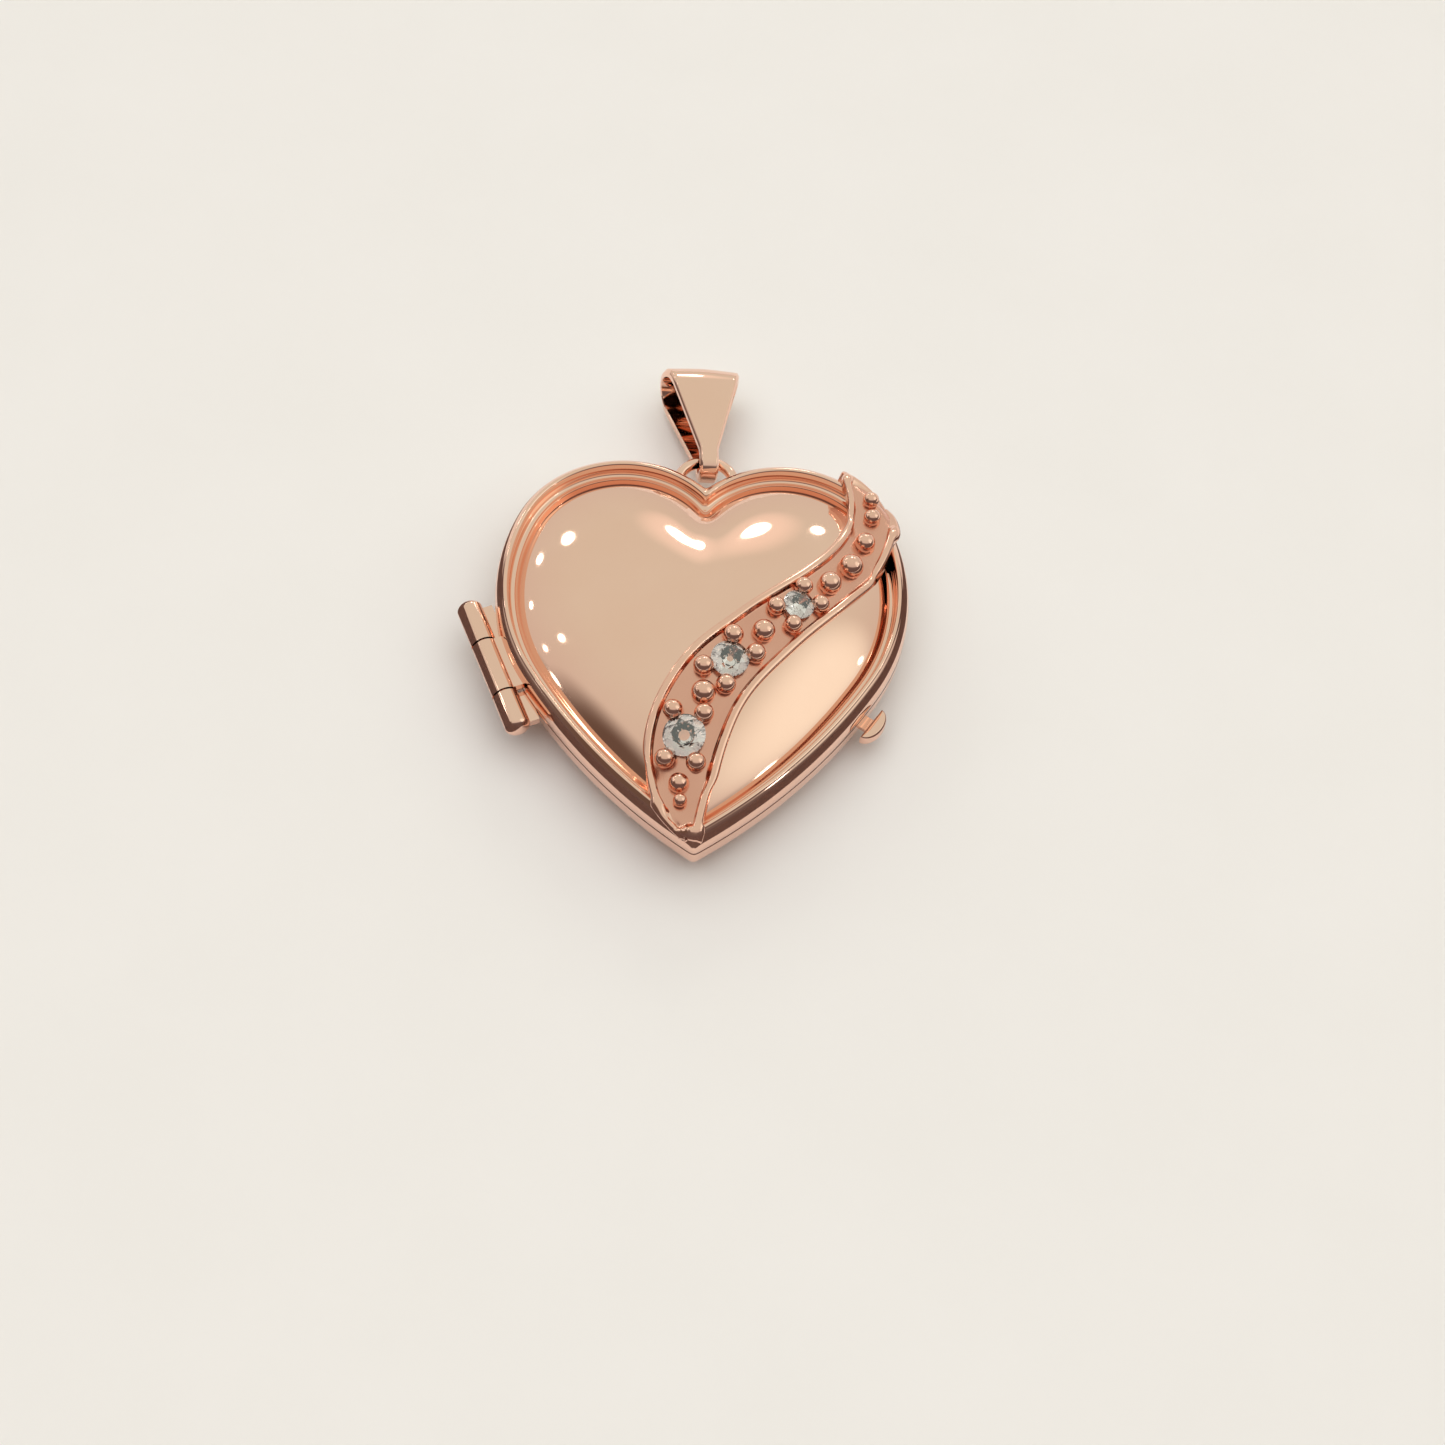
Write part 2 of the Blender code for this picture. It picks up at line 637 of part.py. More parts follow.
def bail_width(distance):
    """Width of the bail's strip at a distance above its foot; it stays narrow round the ring."""
    share = min(max((distance - BAIL_FLARE_START) / (BAIL_LENGTH - BAIL_FLARE_START), 0.0), 1.0)
    return BAIL_FOOT_WIDTH + (BAIL_TOP_WIDTH - BAIL_FOOT_WIDTH) * share


def bail_stations():
    """Middle line of the bail's strip from the side, as (along Y, height, angle of its normal)."""
    foot = RING_WIRE + BAIL_FOOT_CLEARANCE + BAIL_THICKNESS / 2
    top = BAIL_TOP_RADIUS - BAIL_THICKNESS / 2
    reach = BAIL_LENGTH - foot - top - BAIL_THICKNESS
    lean = math.acos((foot - top) / reach)
    over = [(reach + top * math.cos(a), top * math.sin(a), a)
            for a in np.linspace(-lean, lean, BAIL_TOP_STEPS + 1)]
    under = [(foot * math.cos(a), foot * math.sin(a), a)
             for a in np.linspace(lean, 2 * math.pi - lean, BAIL_FOOT_STEPS + 1)]

    def leg(start, stop):
        shares = [i / BAIL_LEG_STEPS for i in range(1, BAIL_LEG_STEPS)]
        return [tuple(s + (e - s) * share for s, e in zip(start[:2], stop[:2])) + (start[2],)
                for share in shares]

    return over + leg(over[-1], under[0]) + under + leg(under[-1], over[0]), foot, reach


def make_bail():
    """Strip bent into a tapered loop round the ring, resting on the surface under the locket."""
    stations, foot, reach = bail_stations()
    half = BAIL_THICKNESS / 2
    rows = []
    for y, z, angle in stations:
        width = bail_width(y + foot + half) / 2
        section = ((-width, -half), (-width, half - BAIL_BEVEL), (BAIL_BEVEL - width, half),
                   (width - BAIL_BEVEL, half), (width, half - BAIL_BEVEL), (width, -half))
        rows.append([(x, y + out * math.cos(angle) - BAIL_SLACK, z + out * math.sin(angle))
                     for x, out in section])
    item = add_object("bail", loft("bail", rows, closed=True), ROSE_GOLD)
    pivot = add_pivot("bail_pivot", ring_center() + Vector((0.0, RING_RADIUS, 0.0)))
    edge = BAIL_TOP_RADIUS * math.cos(BAIL_ROLL) + BAIL_TOP_WIDTH / 2 * math.sin(BAIL_ROLL)
    pitch = math.asin((edge + BAIL_FLOOR_GAP - RING_HEIGHT) / (reach - BAIL_SLACK))
    lean, roll = Matrix.Rotation(BAIL_LEAN, 4, "Z"), Matrix.Rotation(BAIL_ROLL, 4, "Y")
    item.matrix_world = Matrix.Translation(pivot.location) @ lean @ Matrix.Rotation(pitch, 4, "X") @ roll
    hang_on(item, pivot)


def surface_of(form):
    mesh = form.data
    return BVHTree.FromPolygons([v.co for v in mesh.vertices], [p.vertices for p in mesh.polygons])


def main():
    clear_scene()
    case = add_object("case", prism("case", mitred_ring(-SOLDER_GAP), -BACK_DEPTH, CLEAR_TOP))
    surface = surface_of(case_form("bare_form", 0.0, 0.0))
    stones, seats = make_stones(surface)
    front_half = [make_front_cover(seats), make_swirl_band(surface, seats), make_hinge(case), *stones]
    front_half += make_recess("front", seam_height(), 1)
    hinge_pivot = add_pivot("hinge_pivot", hinge_frame().translation)
    for item in front_half:
        hang_on(item, hinge_pivot)
    make_back_cover()
    make_closing_lip()
    make_recess("back", BACK_DEPTH, -1)
    make_thumb_tab(case)
    make_bail_ring(case)
    make_bail()


main()
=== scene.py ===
"""Looks of the heart locket: fine pieces, finishes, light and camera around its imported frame.

Sizes are in millimetres until a mesh is made.
+Z is out of the domed front, and +Y is towards the bail.
"""
import json
import math

import bmesh
import bpy
import numpy as np
from mathutils import Matrix, Vector
from mathutils.bvhtree import BVHTree


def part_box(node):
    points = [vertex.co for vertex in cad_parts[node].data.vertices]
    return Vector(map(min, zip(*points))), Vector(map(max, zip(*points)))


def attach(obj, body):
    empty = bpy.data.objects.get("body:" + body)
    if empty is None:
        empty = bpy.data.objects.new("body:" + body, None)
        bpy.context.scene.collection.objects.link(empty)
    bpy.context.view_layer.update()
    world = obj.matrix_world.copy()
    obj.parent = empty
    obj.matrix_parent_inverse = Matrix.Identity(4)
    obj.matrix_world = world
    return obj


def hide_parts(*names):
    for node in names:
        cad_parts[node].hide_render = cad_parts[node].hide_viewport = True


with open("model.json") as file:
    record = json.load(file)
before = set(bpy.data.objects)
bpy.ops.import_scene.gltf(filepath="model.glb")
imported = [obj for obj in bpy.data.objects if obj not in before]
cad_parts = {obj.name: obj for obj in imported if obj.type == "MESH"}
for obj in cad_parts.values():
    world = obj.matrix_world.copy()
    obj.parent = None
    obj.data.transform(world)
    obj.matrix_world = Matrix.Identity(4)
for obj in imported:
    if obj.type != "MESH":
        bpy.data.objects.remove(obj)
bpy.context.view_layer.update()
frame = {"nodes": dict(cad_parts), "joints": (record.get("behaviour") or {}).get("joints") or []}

MM = 0.001


def box_mm(node):
    low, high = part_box(node)
    return np.array(low) / MM, np.array(high) / MM


# Driving sizes, read from the frame. A name that ends in STEPS, ROWS, COLUMNS or SIDES says how
# finely a shape is drawn.
FRONT_LOW, FRONT_HIGH = box_mm("front_cover")
WIDTH = FRONT_HIGH[0] - FRONT_LOW[0]
SEAM = FRONT_LOW[2]
BACK_DEPTH = box_mm("back_cover")[1][2]

# Heart outline: three arcs a side, and how far its tip and notch are rounded.
LOBE_RADIUS = 0.2875 * WIDTH
SHOULDER_RADIUS = 0.525 * WIDTH
FLANK_RADIUS = 1.425 * WIDTH
LOBE_CENTER_Y = 0.255 * WIDTH
DOME_CENTER_Y = 0.05 * WIDTH
SHOULDER_TOP = math.radians(22.0)
SHOULDER_END = math.radians(-31.6)
RING_POINTS = 480
CORNER_SOFTNESS = 0.16

# Case: heights run up from the seam, insets run in from the outline.
WALL = 0.4
DOME_WALL = 0.32
BACK_STRAIGHT = 0.5
BACK_STEPS = 26
BACK_LINING_STEPS = 12
PANEL_INSET = 2.8
RIM_HEIGHT = 1.18
RIM_STRAIGHT = 0.25
RIM_STEPS = 20
RIM_CREST = 0.52
RIM_EDGE = 0.13
RIM_EDGE_STEPS = 7
RIM_TILT_LOW = math.radians(8.0)
RIM_TILT_HIGH = math.radians(54.0)
RIM_FALL = math.radians(62.0)
GROOVE_INSET = 0.87
GROOVE_HEIGHT = 0.45
GROOVE_LEAN = math.radians(95.0)
GROOVE_STEPS = 14
CURVE_PULL = 0.4
DOME_INSET = 0.95
DOME_RISE = FRONT_HIGH[2] - SEAM - GROOVE_HEIGHT
DOME_FULLNESS = 2.3
DOME_ROUNDNESS = 0.85
DOME_SOFTENING = 0.15 * WIDTH
DOME_ROWS = 64
DOME_LINING_ROWS = 24
DOME_CROWDING = 1.5
EDGE_BREAK = 0.035
SHARP_ANGLE = math.radians(40.0)
CRISP_ANGLE = math.radians(35.0)

# Photo recess of each half.
LIP_GAP = 0.05
LIP_THICKNESS = 0.27
FRAME_INSET = 1.35
FRAME_WIDTH = 0.9
FRAME_BREAK = 0.05
WINDOW_CLEARANCE = 0.04
CARD_INSET = 1.6

# Swirl band: outer edges of its two rails from the lobe to the tip, in half-widths of the heart.
LEFT_RAIL = ((0.655, 0.995), (0.695, 0.785), (0.62, 0.535), (0.46, 0.315), (0.17, 0.047),
             (-0.08, -0.21), (-0.225, -0.52), (-0.21, -0.86), (-0.06, -1.055))
RIGHT_RAIL = ((0.905, 0.87), (0.93, 0.65), (0.85, 0.40), (0.68, 0.165), (0.43, -0.12),
              (0.23, -0.375), (0.13, -0.60), (0.06, -0.88), (0.025, -1.075))
# Rail section: distance in from the band's edge, and height above the case.
RAIL_SECTION = ((0.0, -0.12), (0.0, 0.2), (0.0, 0.42), (0.012, 0.5), (0.045, 0.565), (0.1, 0.6),
                (0.16, 0.612), (0.235, 0.612), (0.3, 0.6), (0.36, 0.565), (0.398, 0.5),
                (0.415, 0.42), (0.425, 0.34), (0.445, 0.3), (0.49, 0.285))
# How far in the rail's crest reaches, and where its inner side meets the sunk floor.
RAIL_CREST = RAIL_SECTION[7][0]
RAIL_FOOT_HEIGHT = RAIL_SECTION[-2][1]
RAIL_WIDTH, FLOOR_HEIGHT = RAIL_SECTION[-1]
BAND_LAST = len(LEFT_RAIL) - 1
FLOOR_COLUMNS = 10
BAND_STEPS = 150
BAND_SMOOTHING = 10
BAND_SINK = 0.2
END_BULGE = 0.35
SHORT_WAY = 0.1
LOOK_AHEAD = 0.2
SLOPE_REACH = 0.13
SLOPE_STEPS = 3
SIDE_HEIGHT = 0.35
SIDE_STEPS = 40
DROP_FROM = 20.0

# Stones: name, place along the band (0 at the lobe, 8 at the tip), diameter, prong radius.
STONES = (("upper", 3.5, 1.5, 0.44), ("middle", 4.73, 1.8, 0.48), ("lower", 6.12, 2.0, 0.47))
STONE_GIRDLE = 0.52
GIRDLE_THICKNESS = 0.05
GIRDLE_SIDES = 32
# Round cut: corners of the crown's kites, the table and the pavilion's mains. Radii are shares of
# the stone's radius, and heights above or below the girdle are shares of its diameter.
MAINS = 8
KITE_RADIUS, KITE_RISE = 0.79, 0.085
TABLE_RADIUS, TABLE_RISE = 0.57, 0.15
PAVILION_RADIUS, PAVILION_DROP = 0.22, 0.265
CULET_DROP = 0.34
FLAT_WITHIN = math.radians(1.5)
FACET_ANGLE = math.radians(2.0)
# Seat bored under each stone: its foot as a share of the stone's radius, and its heights.
SEAT_FOOT = 0.45
SEAT_FOOT_HEIGHT = 0.03
SEAT_CLEARANCE = 0.03
SEAT_LEDGE = 0.5
SEAT_TOP = 1.3
SEAT_SIDES = 48

# Prong heads round each stone, and beads between them: place along the band, and radius.
PRONG_ANGLE = math.radians(32.0)
PRONG_LIFT = 0.48
PRONG_HOLD = 0.8
BEADS = ((0.56, 0.4), (0.98, 0.42), (1.6, 0.5), (2.35, 0.6), (2.92, 0.56),
         (4.08, 0.55), (5.39, 0.58), (6.77, 0.48), (7.13, 0.33))
BEAD_LIFT = 0.45
BEAD_SIDES = 32

# Hinge.
KNUCKLE_RADIUS = 0.62
KNUCKLE_GAP = 0.1
KNUCKLE_LENGTHS = (2.5, 2.9, 2.1)
KNUCKLE_DOME = 0.43
KNUCKLE_DOME_STEPS = 12
KNUCKLE_BREAK = 0.04
KNUCKLE_BREAK_STEPS = 3
HINGE_START = -3.7
HINGE_ANGLE = math.radians(-23.2)
BORE_RADIUS = 0.3
PIN_END_MARGIN = 0.6
PIN_END_PLAY = 0.05
LEAF_CLEARANCE = 0.06
LEAF_THICKNESS = 0.45
LEAF_REACH = 1.1
TURNED_SIDES = 64

# Thumb tab: its edge as insets and distances from its lower and upper face.
TAB_ANGLE = math.radians(-33.6)
TAB_REACH = 0.95
TAB_HALF_WIDTH = 0.95
TAB_LOW_EDGE = ((0.06, 0.0), (0.01, 0.04), (0.0, 0.1))
TAB_HIGH_EDGE = ((0.0, 0.14), (0.015, 0.07), (0.05, 0.02), (0.1, 0.0))
TAB_PILLOW = 0.02
TAB_ROUND_STEPS = 40
TAB_FLAT_STEPS = 24
TAB_NECK = 0.32
NECK_OVERLAP = 0.2
NECK_HALF_WIDTH = 0.35
NECK_LOW, NECK_HIGH = 0.08, 0.3

# Hanging ring and bail.
RING_RADIUS = 1.42
RING_WIRE = 0.28
RING_SIDES = 128
RING_WIRE_SIDES = 32
BAIL_LENGTH = 6.7
BAIL_THICKNESS = 0.42
BAIL_TOP_RADIUS = 1.45
BAIL_FOOT_CLEARANCE = 0.2
BAIL_SLACK = 0.2
BAIL_TOP_WIDTH = 4.15
BAIL_FOOT_WIDTH = 0.95
BAIL_FLARE_START = 1.3
BAIL_TOP_STEPS = 49
BAIL_FOOT_STEPS = 33
BAIL_LEG_STEPS = 24
# Bevel of the strip's outer edge: distance in from its side, and depth below its face.
BAIL_BEVEL = ((0.0, 0.16), (0.03, 0.12), (0.1, 0.02), (0.13, 0.0))
BAIL_INNER_BREAK = 0.05
BAIL_CROWN = 0.1
BAIL_CROWN_FULLNESS = 1.5
BAIL_CROWN_REACH = 0.9
BAIL_CROWN_STEPS = 13
BAIL_ROLL = math.radians(8.0)
BAIL_LEAN = math.radians(5.5)
BAIL_FLOOR_GAP = 0.02

# Table, overhead light, and the dark felt stood round the locket.
TABLE_REACH = 600.0
FILL_HEIGHT = 600.0
FILL_SIZE = 900.0
FILL_BRIGHTNESS = 0.98
FELT_DISTANCE = 3.4
FELT_HEIGHT = 4.1
FELT_BACK = 13.0
FELT_TAPER = 8.0
FELT_SPACING = 4

# Room: the way its light grows, and its tones from dim to bright along that way.
WORLD_STRENGTH = 1.0
ROOM_RISE = (0.05, 0.6, 1.0)
ROOM_TONES = ((0.0, "#6A5C5A"), (0.26, "#756A66"), (0.44, "#D8D4CC"), (0.95, "#DEE2D6"))
# Glows and a dim corner in the room: azimuth and elevation, the angles from there where a glow is
# full and where it is gone, brightness, colour.
GLOWS = ((-160, 32, 6, 20, 1.0, "#6A5A50"), (2, 40, 4, 26, 1.15, "#F6FFF4"),
         (85, 29, 3, 14, 1.0, "#FFFBF0"), (85.3, 28, 2.0, 4.4, 9.0, "#FFFFFA"),
         (67, 24, 1.0, 2.6, 9.0, "#FFFFFA"), (124, 26, 1.2, 2.8, 9.0, "#FFFFFA"),
         (135, 20, 0.8, 2.0, 8.0, "#FFFFFA"), (152, 23, 0.7, 1.7, 8.0, "#FFFFFA"),
         (170, 30, 0.7, 1.7, 6.0, "#FFFFFA"), (163, 40, 0.8, 2.0, 6.0, "#FFFFFA"),
         (-178, 26, 0.6, 1.6, 6.0, "#FFFFFA"), (-20, 30, 1.0, 2.4, 6.0, "#FFFFFA"),
         (10, 25, 0.8, 2.0, 6.0, "#FFFFFA"))

# Camera: direction from the locket in degrees, the point it aims at, and its clipping in metres.
CAMERA_AZIMUTH = -2.214
CAMERA_ELEVATION = 58.511
CAMERA_ROLL = 4.165
CAMERA_AIM = (1.141, -3.982, 2.5)
CAMERA_DISTANCE = 110.03
CAMERA_LENS = 58.67
CAMERA_SENSOR = 36.0
CAMERA_NEAR, CAMERA_FAR = 0.005, 10.0


# ---- Materials -----------------------------------------------------------------------------

def linear(hex_code):
    """An sRGB hex colour as linear RGBA."""
    parts = [int(hex_code[i:i + 2], 16) / 255 for i in (1, 3, 5)]
    return (*[c / 12.92 if c <= 0.04045 else ((c + 0.055) / 1.055) ** 2.4 for c in parts], 1.0)


def add_node(tree, kind, inputs=None, **settings):
    """Add a node; inputs maps a socket's name or number to a value or to an output to link."""
    node = tree.nodes.new(kind)
    for name, value in settings.items():
        setattr(node, name, value)
    for name, value in (inputs or {}).items():
        if isinstance(value, bpy.types.NodeSocket):
            tree.links.new(value, node.inputs[name])
        else:
            node.inputs[name].default_value = value
    return node


def new_material(name):
    """An empty material with a Principled shader, and its place in the object in metres."""
    material = bpy.data.materials.new(name)
    material.use_nodes = True
    tree = material.node_tree
    place = add_node(tree, "ShaderNodeTexCoord").outputs["Object"]
    return material, tree, tree.nodes["Principled BSDF"], place


def per_metre(size_mm):
    """Noise scale whose features are about size_mm across."""
    return 1 / (size_mm * MM)


def rose_gold(name, light, deep, roughness, spread, wave_um, grain_mm, grain_um):
    """Rose gold alloy: two close tones, a roughness range, slow waves and a fine grain."""
    material, tree, shader, place = new_material(name)
    tone = add_node(tree, "ShaderNodeTexNoise",
                    {"Vector": place, "Scale": per_metre(4.0), "Detail": 3.0})
    colour = add_node(tree, "ShaderNodeMix",
                      {0: tone.outputs["Fac"], 6: linear(light), 7: linear(deep)}, data_type="RGBA")
    wear = add_node(tree, "ShaderNodeTexNoise",
                    {"Vector": place, "Scale": per_metre(1.2), "Detail": 6.0})
    rough = add_node(tree, "ShaderNodeMapRange",
                     {"Value": wear.outputs["Fac"], "From Min": 0.3, "From Max": 0.75,
                      "To Min": roughness, "To Max": roughness + spread})
    wave = add_node(tree, "ShaderNodeTexNoise",
                    {"Vector": place, "Scale": per_metre(3.2), "Detail": 1.0})
    slow = add_node(tree, "ShaderNodeBump",
                    {"Height": wave.outputs["Fac"], "Distance": wave_um * MM * MM})
    grain = add_node(tree, "ShaderNodeTexNoise",
                     {"Vector": place, "Scale": per_metre(grain_mm), "Detail": 2.0})
    fine = add_node(tree, "ShaderNodeBump",
                    {"Height": grain.outputs["Fac"], "Distance": grain_um * MM * MM,
                     "Normal": slow.outputs["Normal"]})
    shader.inputs["Metallic"].default_value = 1.0
    tree.links.new(colour.outputs[2], shader.inputs["Base Color"])
    tree.links.new(rough.outputs["Result"], shader.inputs["Roughness"])
    tree.links.new(fine.outputs["Normal"], shader.inputs["Normal"])
    return material


def mirror_polished_rose_gold():
    """9 carat sheet, die-struck and buffed on a felt wheel: a pink mirror that wavers a little."""
    return rose_gold("mirror_polished_rose_gold", "#FAD2BE", "#F6CAB4",
                     roughness=0.03, spread=0.05, wave_um=9.0, grain_mm=0.12, grain_um=0.12)


def cast_rose_gold():
    """The band and prongs are cast, then tumble-polished: softer glints and a pebbled skin.

    The pebbles are drawn 0.2 mm across, coarser than real ones, so that they show.
    """
    return rose_gold("cast_rose_gold", "#F9CDB8", "#F2BDA6",
                     roughness=0.06, spread=0.08, wave_um=5.0, grain_mm=0.2, grain_um=0.8)


def dipped_rose_gold_with_painted_shade():
    """The band's sunk floor is acid-dipped, out of the wheel's reach: a soft pink bloom, its
    rougher skin real and its darker tones painted shade for the hollows between the beads.
    """
    return rose_gold("dipped_rose_gold_with_painted_shade", "#F0BCA6", "#DFA08A",
                     roughness=0.16, spread=0.12, wave_um=3.0, grain_mm=0.08, grain_um=1.5)


def satin_rose_gold():
    """Inside, the shells keep the press's satin skin: a blurred, warm shine without images."""
    return rose_gold("satin_rose_gold", "#F4C9AF", "#EAB99D",
                     roughness=0.26, spread=0.1, wave_um=4.0, grain_mm=0.06, grain_um=1.2)


def brilliant_diamond():
    """Brilliant-cut melee diamond, a warm tinted white: it flashes, a little clouded inside."""
    material, tree, shader, place = new_material("brilliant_diamond")
    cloud = add_node(tree, "ShaderNodeTexNoise",
                     {"Vector": place, "Scale": per_metre(0.5), "Detail": 5.0})
    colour = add_node(tree, "ShaderNodeMix",
                      {0: cloud.outputs["Fac"], 6: linear("#FFFAF6"), 7: linear("#F4E4E0")},
                      data_type="RGBA")
    tree.links.new(colour.outputs[2], shader.inputs["Base Color"])
    shader.inputs["Roughness"].default_value = 0.0
    shader.inputs["IOR"].default_value = 2.417
    shader.inputs["Transmission Weight"].default_value = 1.0
    return material


def clear_acetate():
    """Cellulose acetate sheet, die-cut: clear, with faint handling marks that dull its gloss."""
    material, tree, shader, place = new_material("clear_acetate")
    marks = add_node(tree, "ShaderNodeTexNoise",
                     {"Vector": place, "Scale": per_metre(2.5), "Detail": 8.0})
    rough = add_node(tree, "ShaderNodeMapRange",
                     {"Value": marks.outputs["Fac"], "From Min": 0.4, "From Max": 0.7,
                      "To Min": 0.03, "To Max": 0.12})
    tree.links.new(rough.outputs["Result"], shader.inputs["Roughness"])
    shader.inputs["Base Color"].default_value = linear("#F4F6F6")
    shader.inputs["IOR"].default_value = 1.48
    shader.inputs["Alpha"].default_value = 0.12
    return material


def ivory_card():
    """Uncoated ivory card, cut with a steel rule: matt, with short pulp fibres just showing."""
    material, tree, shader, place = new_material("ivory_card")
    stretch = add_node(tree, "ShaderNodeMapping", {"Vector": place, "Scale": (1.0, 0.3, 1.0)})
    fibre = add_node(tree, "ShaderNodeTexNoise",
                     {"Vector": stretch.outputs["Vector"], "Scale": per_metre(0.25),
                      "Detail": 6.0, "Roughness": 0.7})
    colour = add_node(tree, "ShaderNodeMix",
                      {0: fibre.outputs["Fac"], 6: linear("#F3ECDD"), 7: linear("#DDD3C0")},
                      data_type="RGBA")
    bump = add_node(tree, "ShaderNodeBump",
                    {"Height": fibre.outputs["Fac"], "Distance": 8 * MM * MM})
    shader.inputs["Roughness"].default_value = 0.85
    tree.links.new(colour.outputs[2], shader.inputs["Base Color"])
    tree.links.new(bump.outputs["Normal"], shader.inputs["Normal"])
    return material


MIRROR = mirror_polished_rose_gold()
CAST = cast_rose_gold()
DIPPED_SHADED = dipped_rose_gold_with_painted_shade()
SATIN = satin_rose_gold()
DIAMOND = brilliant_diamond()
ACETATE = clear_acetate()
CARD = ivory_card()


# ---- Meshes --------------------------------------------------------------------------------

def linked_object(name, data):
    item = bpy.data.objects.new(name, data)
    bpy.context.collection.objects.link(item)
    return item


def shade(mesh, sharp=SHARP_ANGLE):
    """Smooth shading, creased where faces meet at more than the sharp angle."""
    mesh.shade_smooth()
    mesh.set_sharp_from_angle(angle=sharp)


def add_piece(name, mesh, material, body, node, sharp=SHARP_ANGLE):
    """Link a mesh as a piece that rides on a body and stands for a CAD node."""
    piece = linked_object(name, mesh)
    if material.name not in mesh.materials:
        mesh.materials.append(material)
    shade(mesh, sharp)
    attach(piece, body)
    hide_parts(node)
    return piece


def mesh_of(name, points, faces):
    """Mesh from points in millimetres, with its faces turned outwards."""
    mesh = bpy.data.meshes.new(name)
    mesh.from_pydata((np.array(points) * MM).tolist(), [], faces)
    bm = bmesh.new()
    bm.from_mesh(mesh)
    bmesh.ops.recalc_face_normals(bm, faces=bm.faces)
    bm.to_mesh(mesh)
    bm.free()
    return mesh


def loft(name, rows, closed=False):
    """Skin rows of equal length; an open stack is capped, with a one-point row as a fan."""
    points, starts = [], []
    for points_of_row in rows:
        starts.append(len(points))
        points.extend(points_of_row)
    count = len(rows)
    faces = []
    for k in range(count if closed else count - 1):
        low, high = k, (k + 1) % count
        around = max(len(rows[low]), len(rows[high]))
        for i in range(around):
            j = (i + 1) % around
            corners = [starts[low] + i % len(rows[low]), starts[low] + j % len(rows[low]),
                       starts[high] + j % len(rows[high]), starts[high] + i % len(rows[high])]
            faces.append(list(dict.fromkeys(corners)))
    if not closed:
        for end in (0, count - 1):
            if len(rows[end]) > 2:
                faces.append(list(range(starts[end], starts[end] + len(rows[end]))))
    return mesh_of(name, points, faces)


def row(points, height):
    return [(x, y, height) for x, y in points]


def apply_boolean(piece, cutter, operation):
    """Join or cut a piece with another object, keep the result in its mesh, and drop the other."""
    modifier = piece.modifiers.new("join", "BOOLEAN")
    modifier.operation = operation
    modifier.object = cutter
    graph = bpy.context.evaluated_depsgraph_get()
    made = bpy.data.meshes.new_from_object(piece.evaluated_get(graph))
    piece.modifiers.clear()
    piece.data = made
    bpy.data.objects.remove(cutter)


def in_metres(matrix):
    """A matrix whose places are in millimetres, for an object in metres."""
    return Matrix.Translation(matrix.translation * MM) @ matrix.to_3x3().to_4x4()


# ---- Heart outline -------------------------------------------------------------------------

def arc_centers():
    lobe_x = WIDTH / 2 - SHOULDER_RADIUS + (SHOULDER_RADIUS - LOBE_RADIUS) * math.cos(SHOULDER_TOP)
    lobe = np.array([lobe_x, LOBE_CENTER_Y])
    top = np.array([math.cos(SHOULDER_TOP), math.sin(SHOULDER_TOP)])
    end = np.array([math.cos(SHOULDER_END), math.sin(SHOULDER_END)])
    shoulder = lobe + top * (LOBE_RADIUS - SHOULDER_RADIUS)
    return lobe, shoulder, shoulder + end * (SHOULDER_RADIUS - FLANK_RADIUS)


def softened(ring, spread):
    """A closed ring of evenly spaced points with its corners rounded over a length of spread."""
    around = ring[:, 0] + 1j * ring[:, 1]
    length = np.abs(np.diff(np.append(around, around[0]))).sum()
    waves = np.fft.fftfreq(len(around), 1 / len(around))
    blur = 2 * math.pi * waves * spread / length
    rounded = np.fft.ifft(np.fft.fft(around) * np.exp(-blur ** 2 / 2))
    return np.stack([rounded.real, rounded.imag], axis=1)


def mitred_ring(inset):
    """The outline moved in by inset, evenly spaced and anticlockwise from the tip."""
    lobe, shoulder, flank = arc_centers()
    tip = -math.acos(-flank[0] / (FLANK_RADIUS - inset))
    notch = math.pi - math.acos(lobe[0] / (LOBE_RADIUS - inset))
    arcs = ((flank, FLANK_RADIUS, tip, SHOULDER_END),
            (shoulder, SHOULDER_RADIUS, SHOULDER_END, SHOULDER_TOP),
            (lobe, LOBE_RADIUS, SHOULDER_TOP, notch))
    right = []
    for center, radius, start, stop in arcs:
        angles = np.linspace(start, stop, RING_POINTS)
        right.append(center + (radius - inset) * np.stack([np.cos(angles), np.sin(angles)], axis=1))
    right = np.vstack(right)
    steps = np.linalg.norm(np.diff(right, axis=0), axis=1)
    along = np.append(0.0, np.cumsum(steps))
    even = np.linspace(0.0, along[-1], RING_POINTS // 2 + 1)
    right = np.stack([np.interp(even, along, right[:, 0]), np.interp(even, along, right[:, 1])],
                     axis=1)
    return np.vstack([right, right[-2:0:-1] * (-1, 1)])


def soft_ring(scale):
    """The dome's base outline shrunk to its centre, its two corners rounding as it shrinks."""
    spread = math.hypot(CORNER_SOFTNESS, DOME_SOFTENING * (1 - scale))
    rounded = softened(mitred_ring(DOME_INSET), spread)
    center = np.array([0.0, DOME_CENTER_Y])
    return center + scale * (rounded - center)


def heart_ring(inset):
    """The heart moved in by inset; further in than the groove it shrinks with the dome."""
    if inset <= DOME_INSET:
        return softened(mitred_ring(inset), CORNER_SOFTNESS)
    return soft_ring(1 - (inset - DOME_INSET) / (WIDTH / 2 - DOME_INSET))


def heart_rows(section, base=0.0):
    """Rows that carry a section of (inset, height) points round the heart."""
    return [row(heart_ring(inset), base + height) for inset, height in section]


# ---- Case shells ---------------------------------------------------------------------------

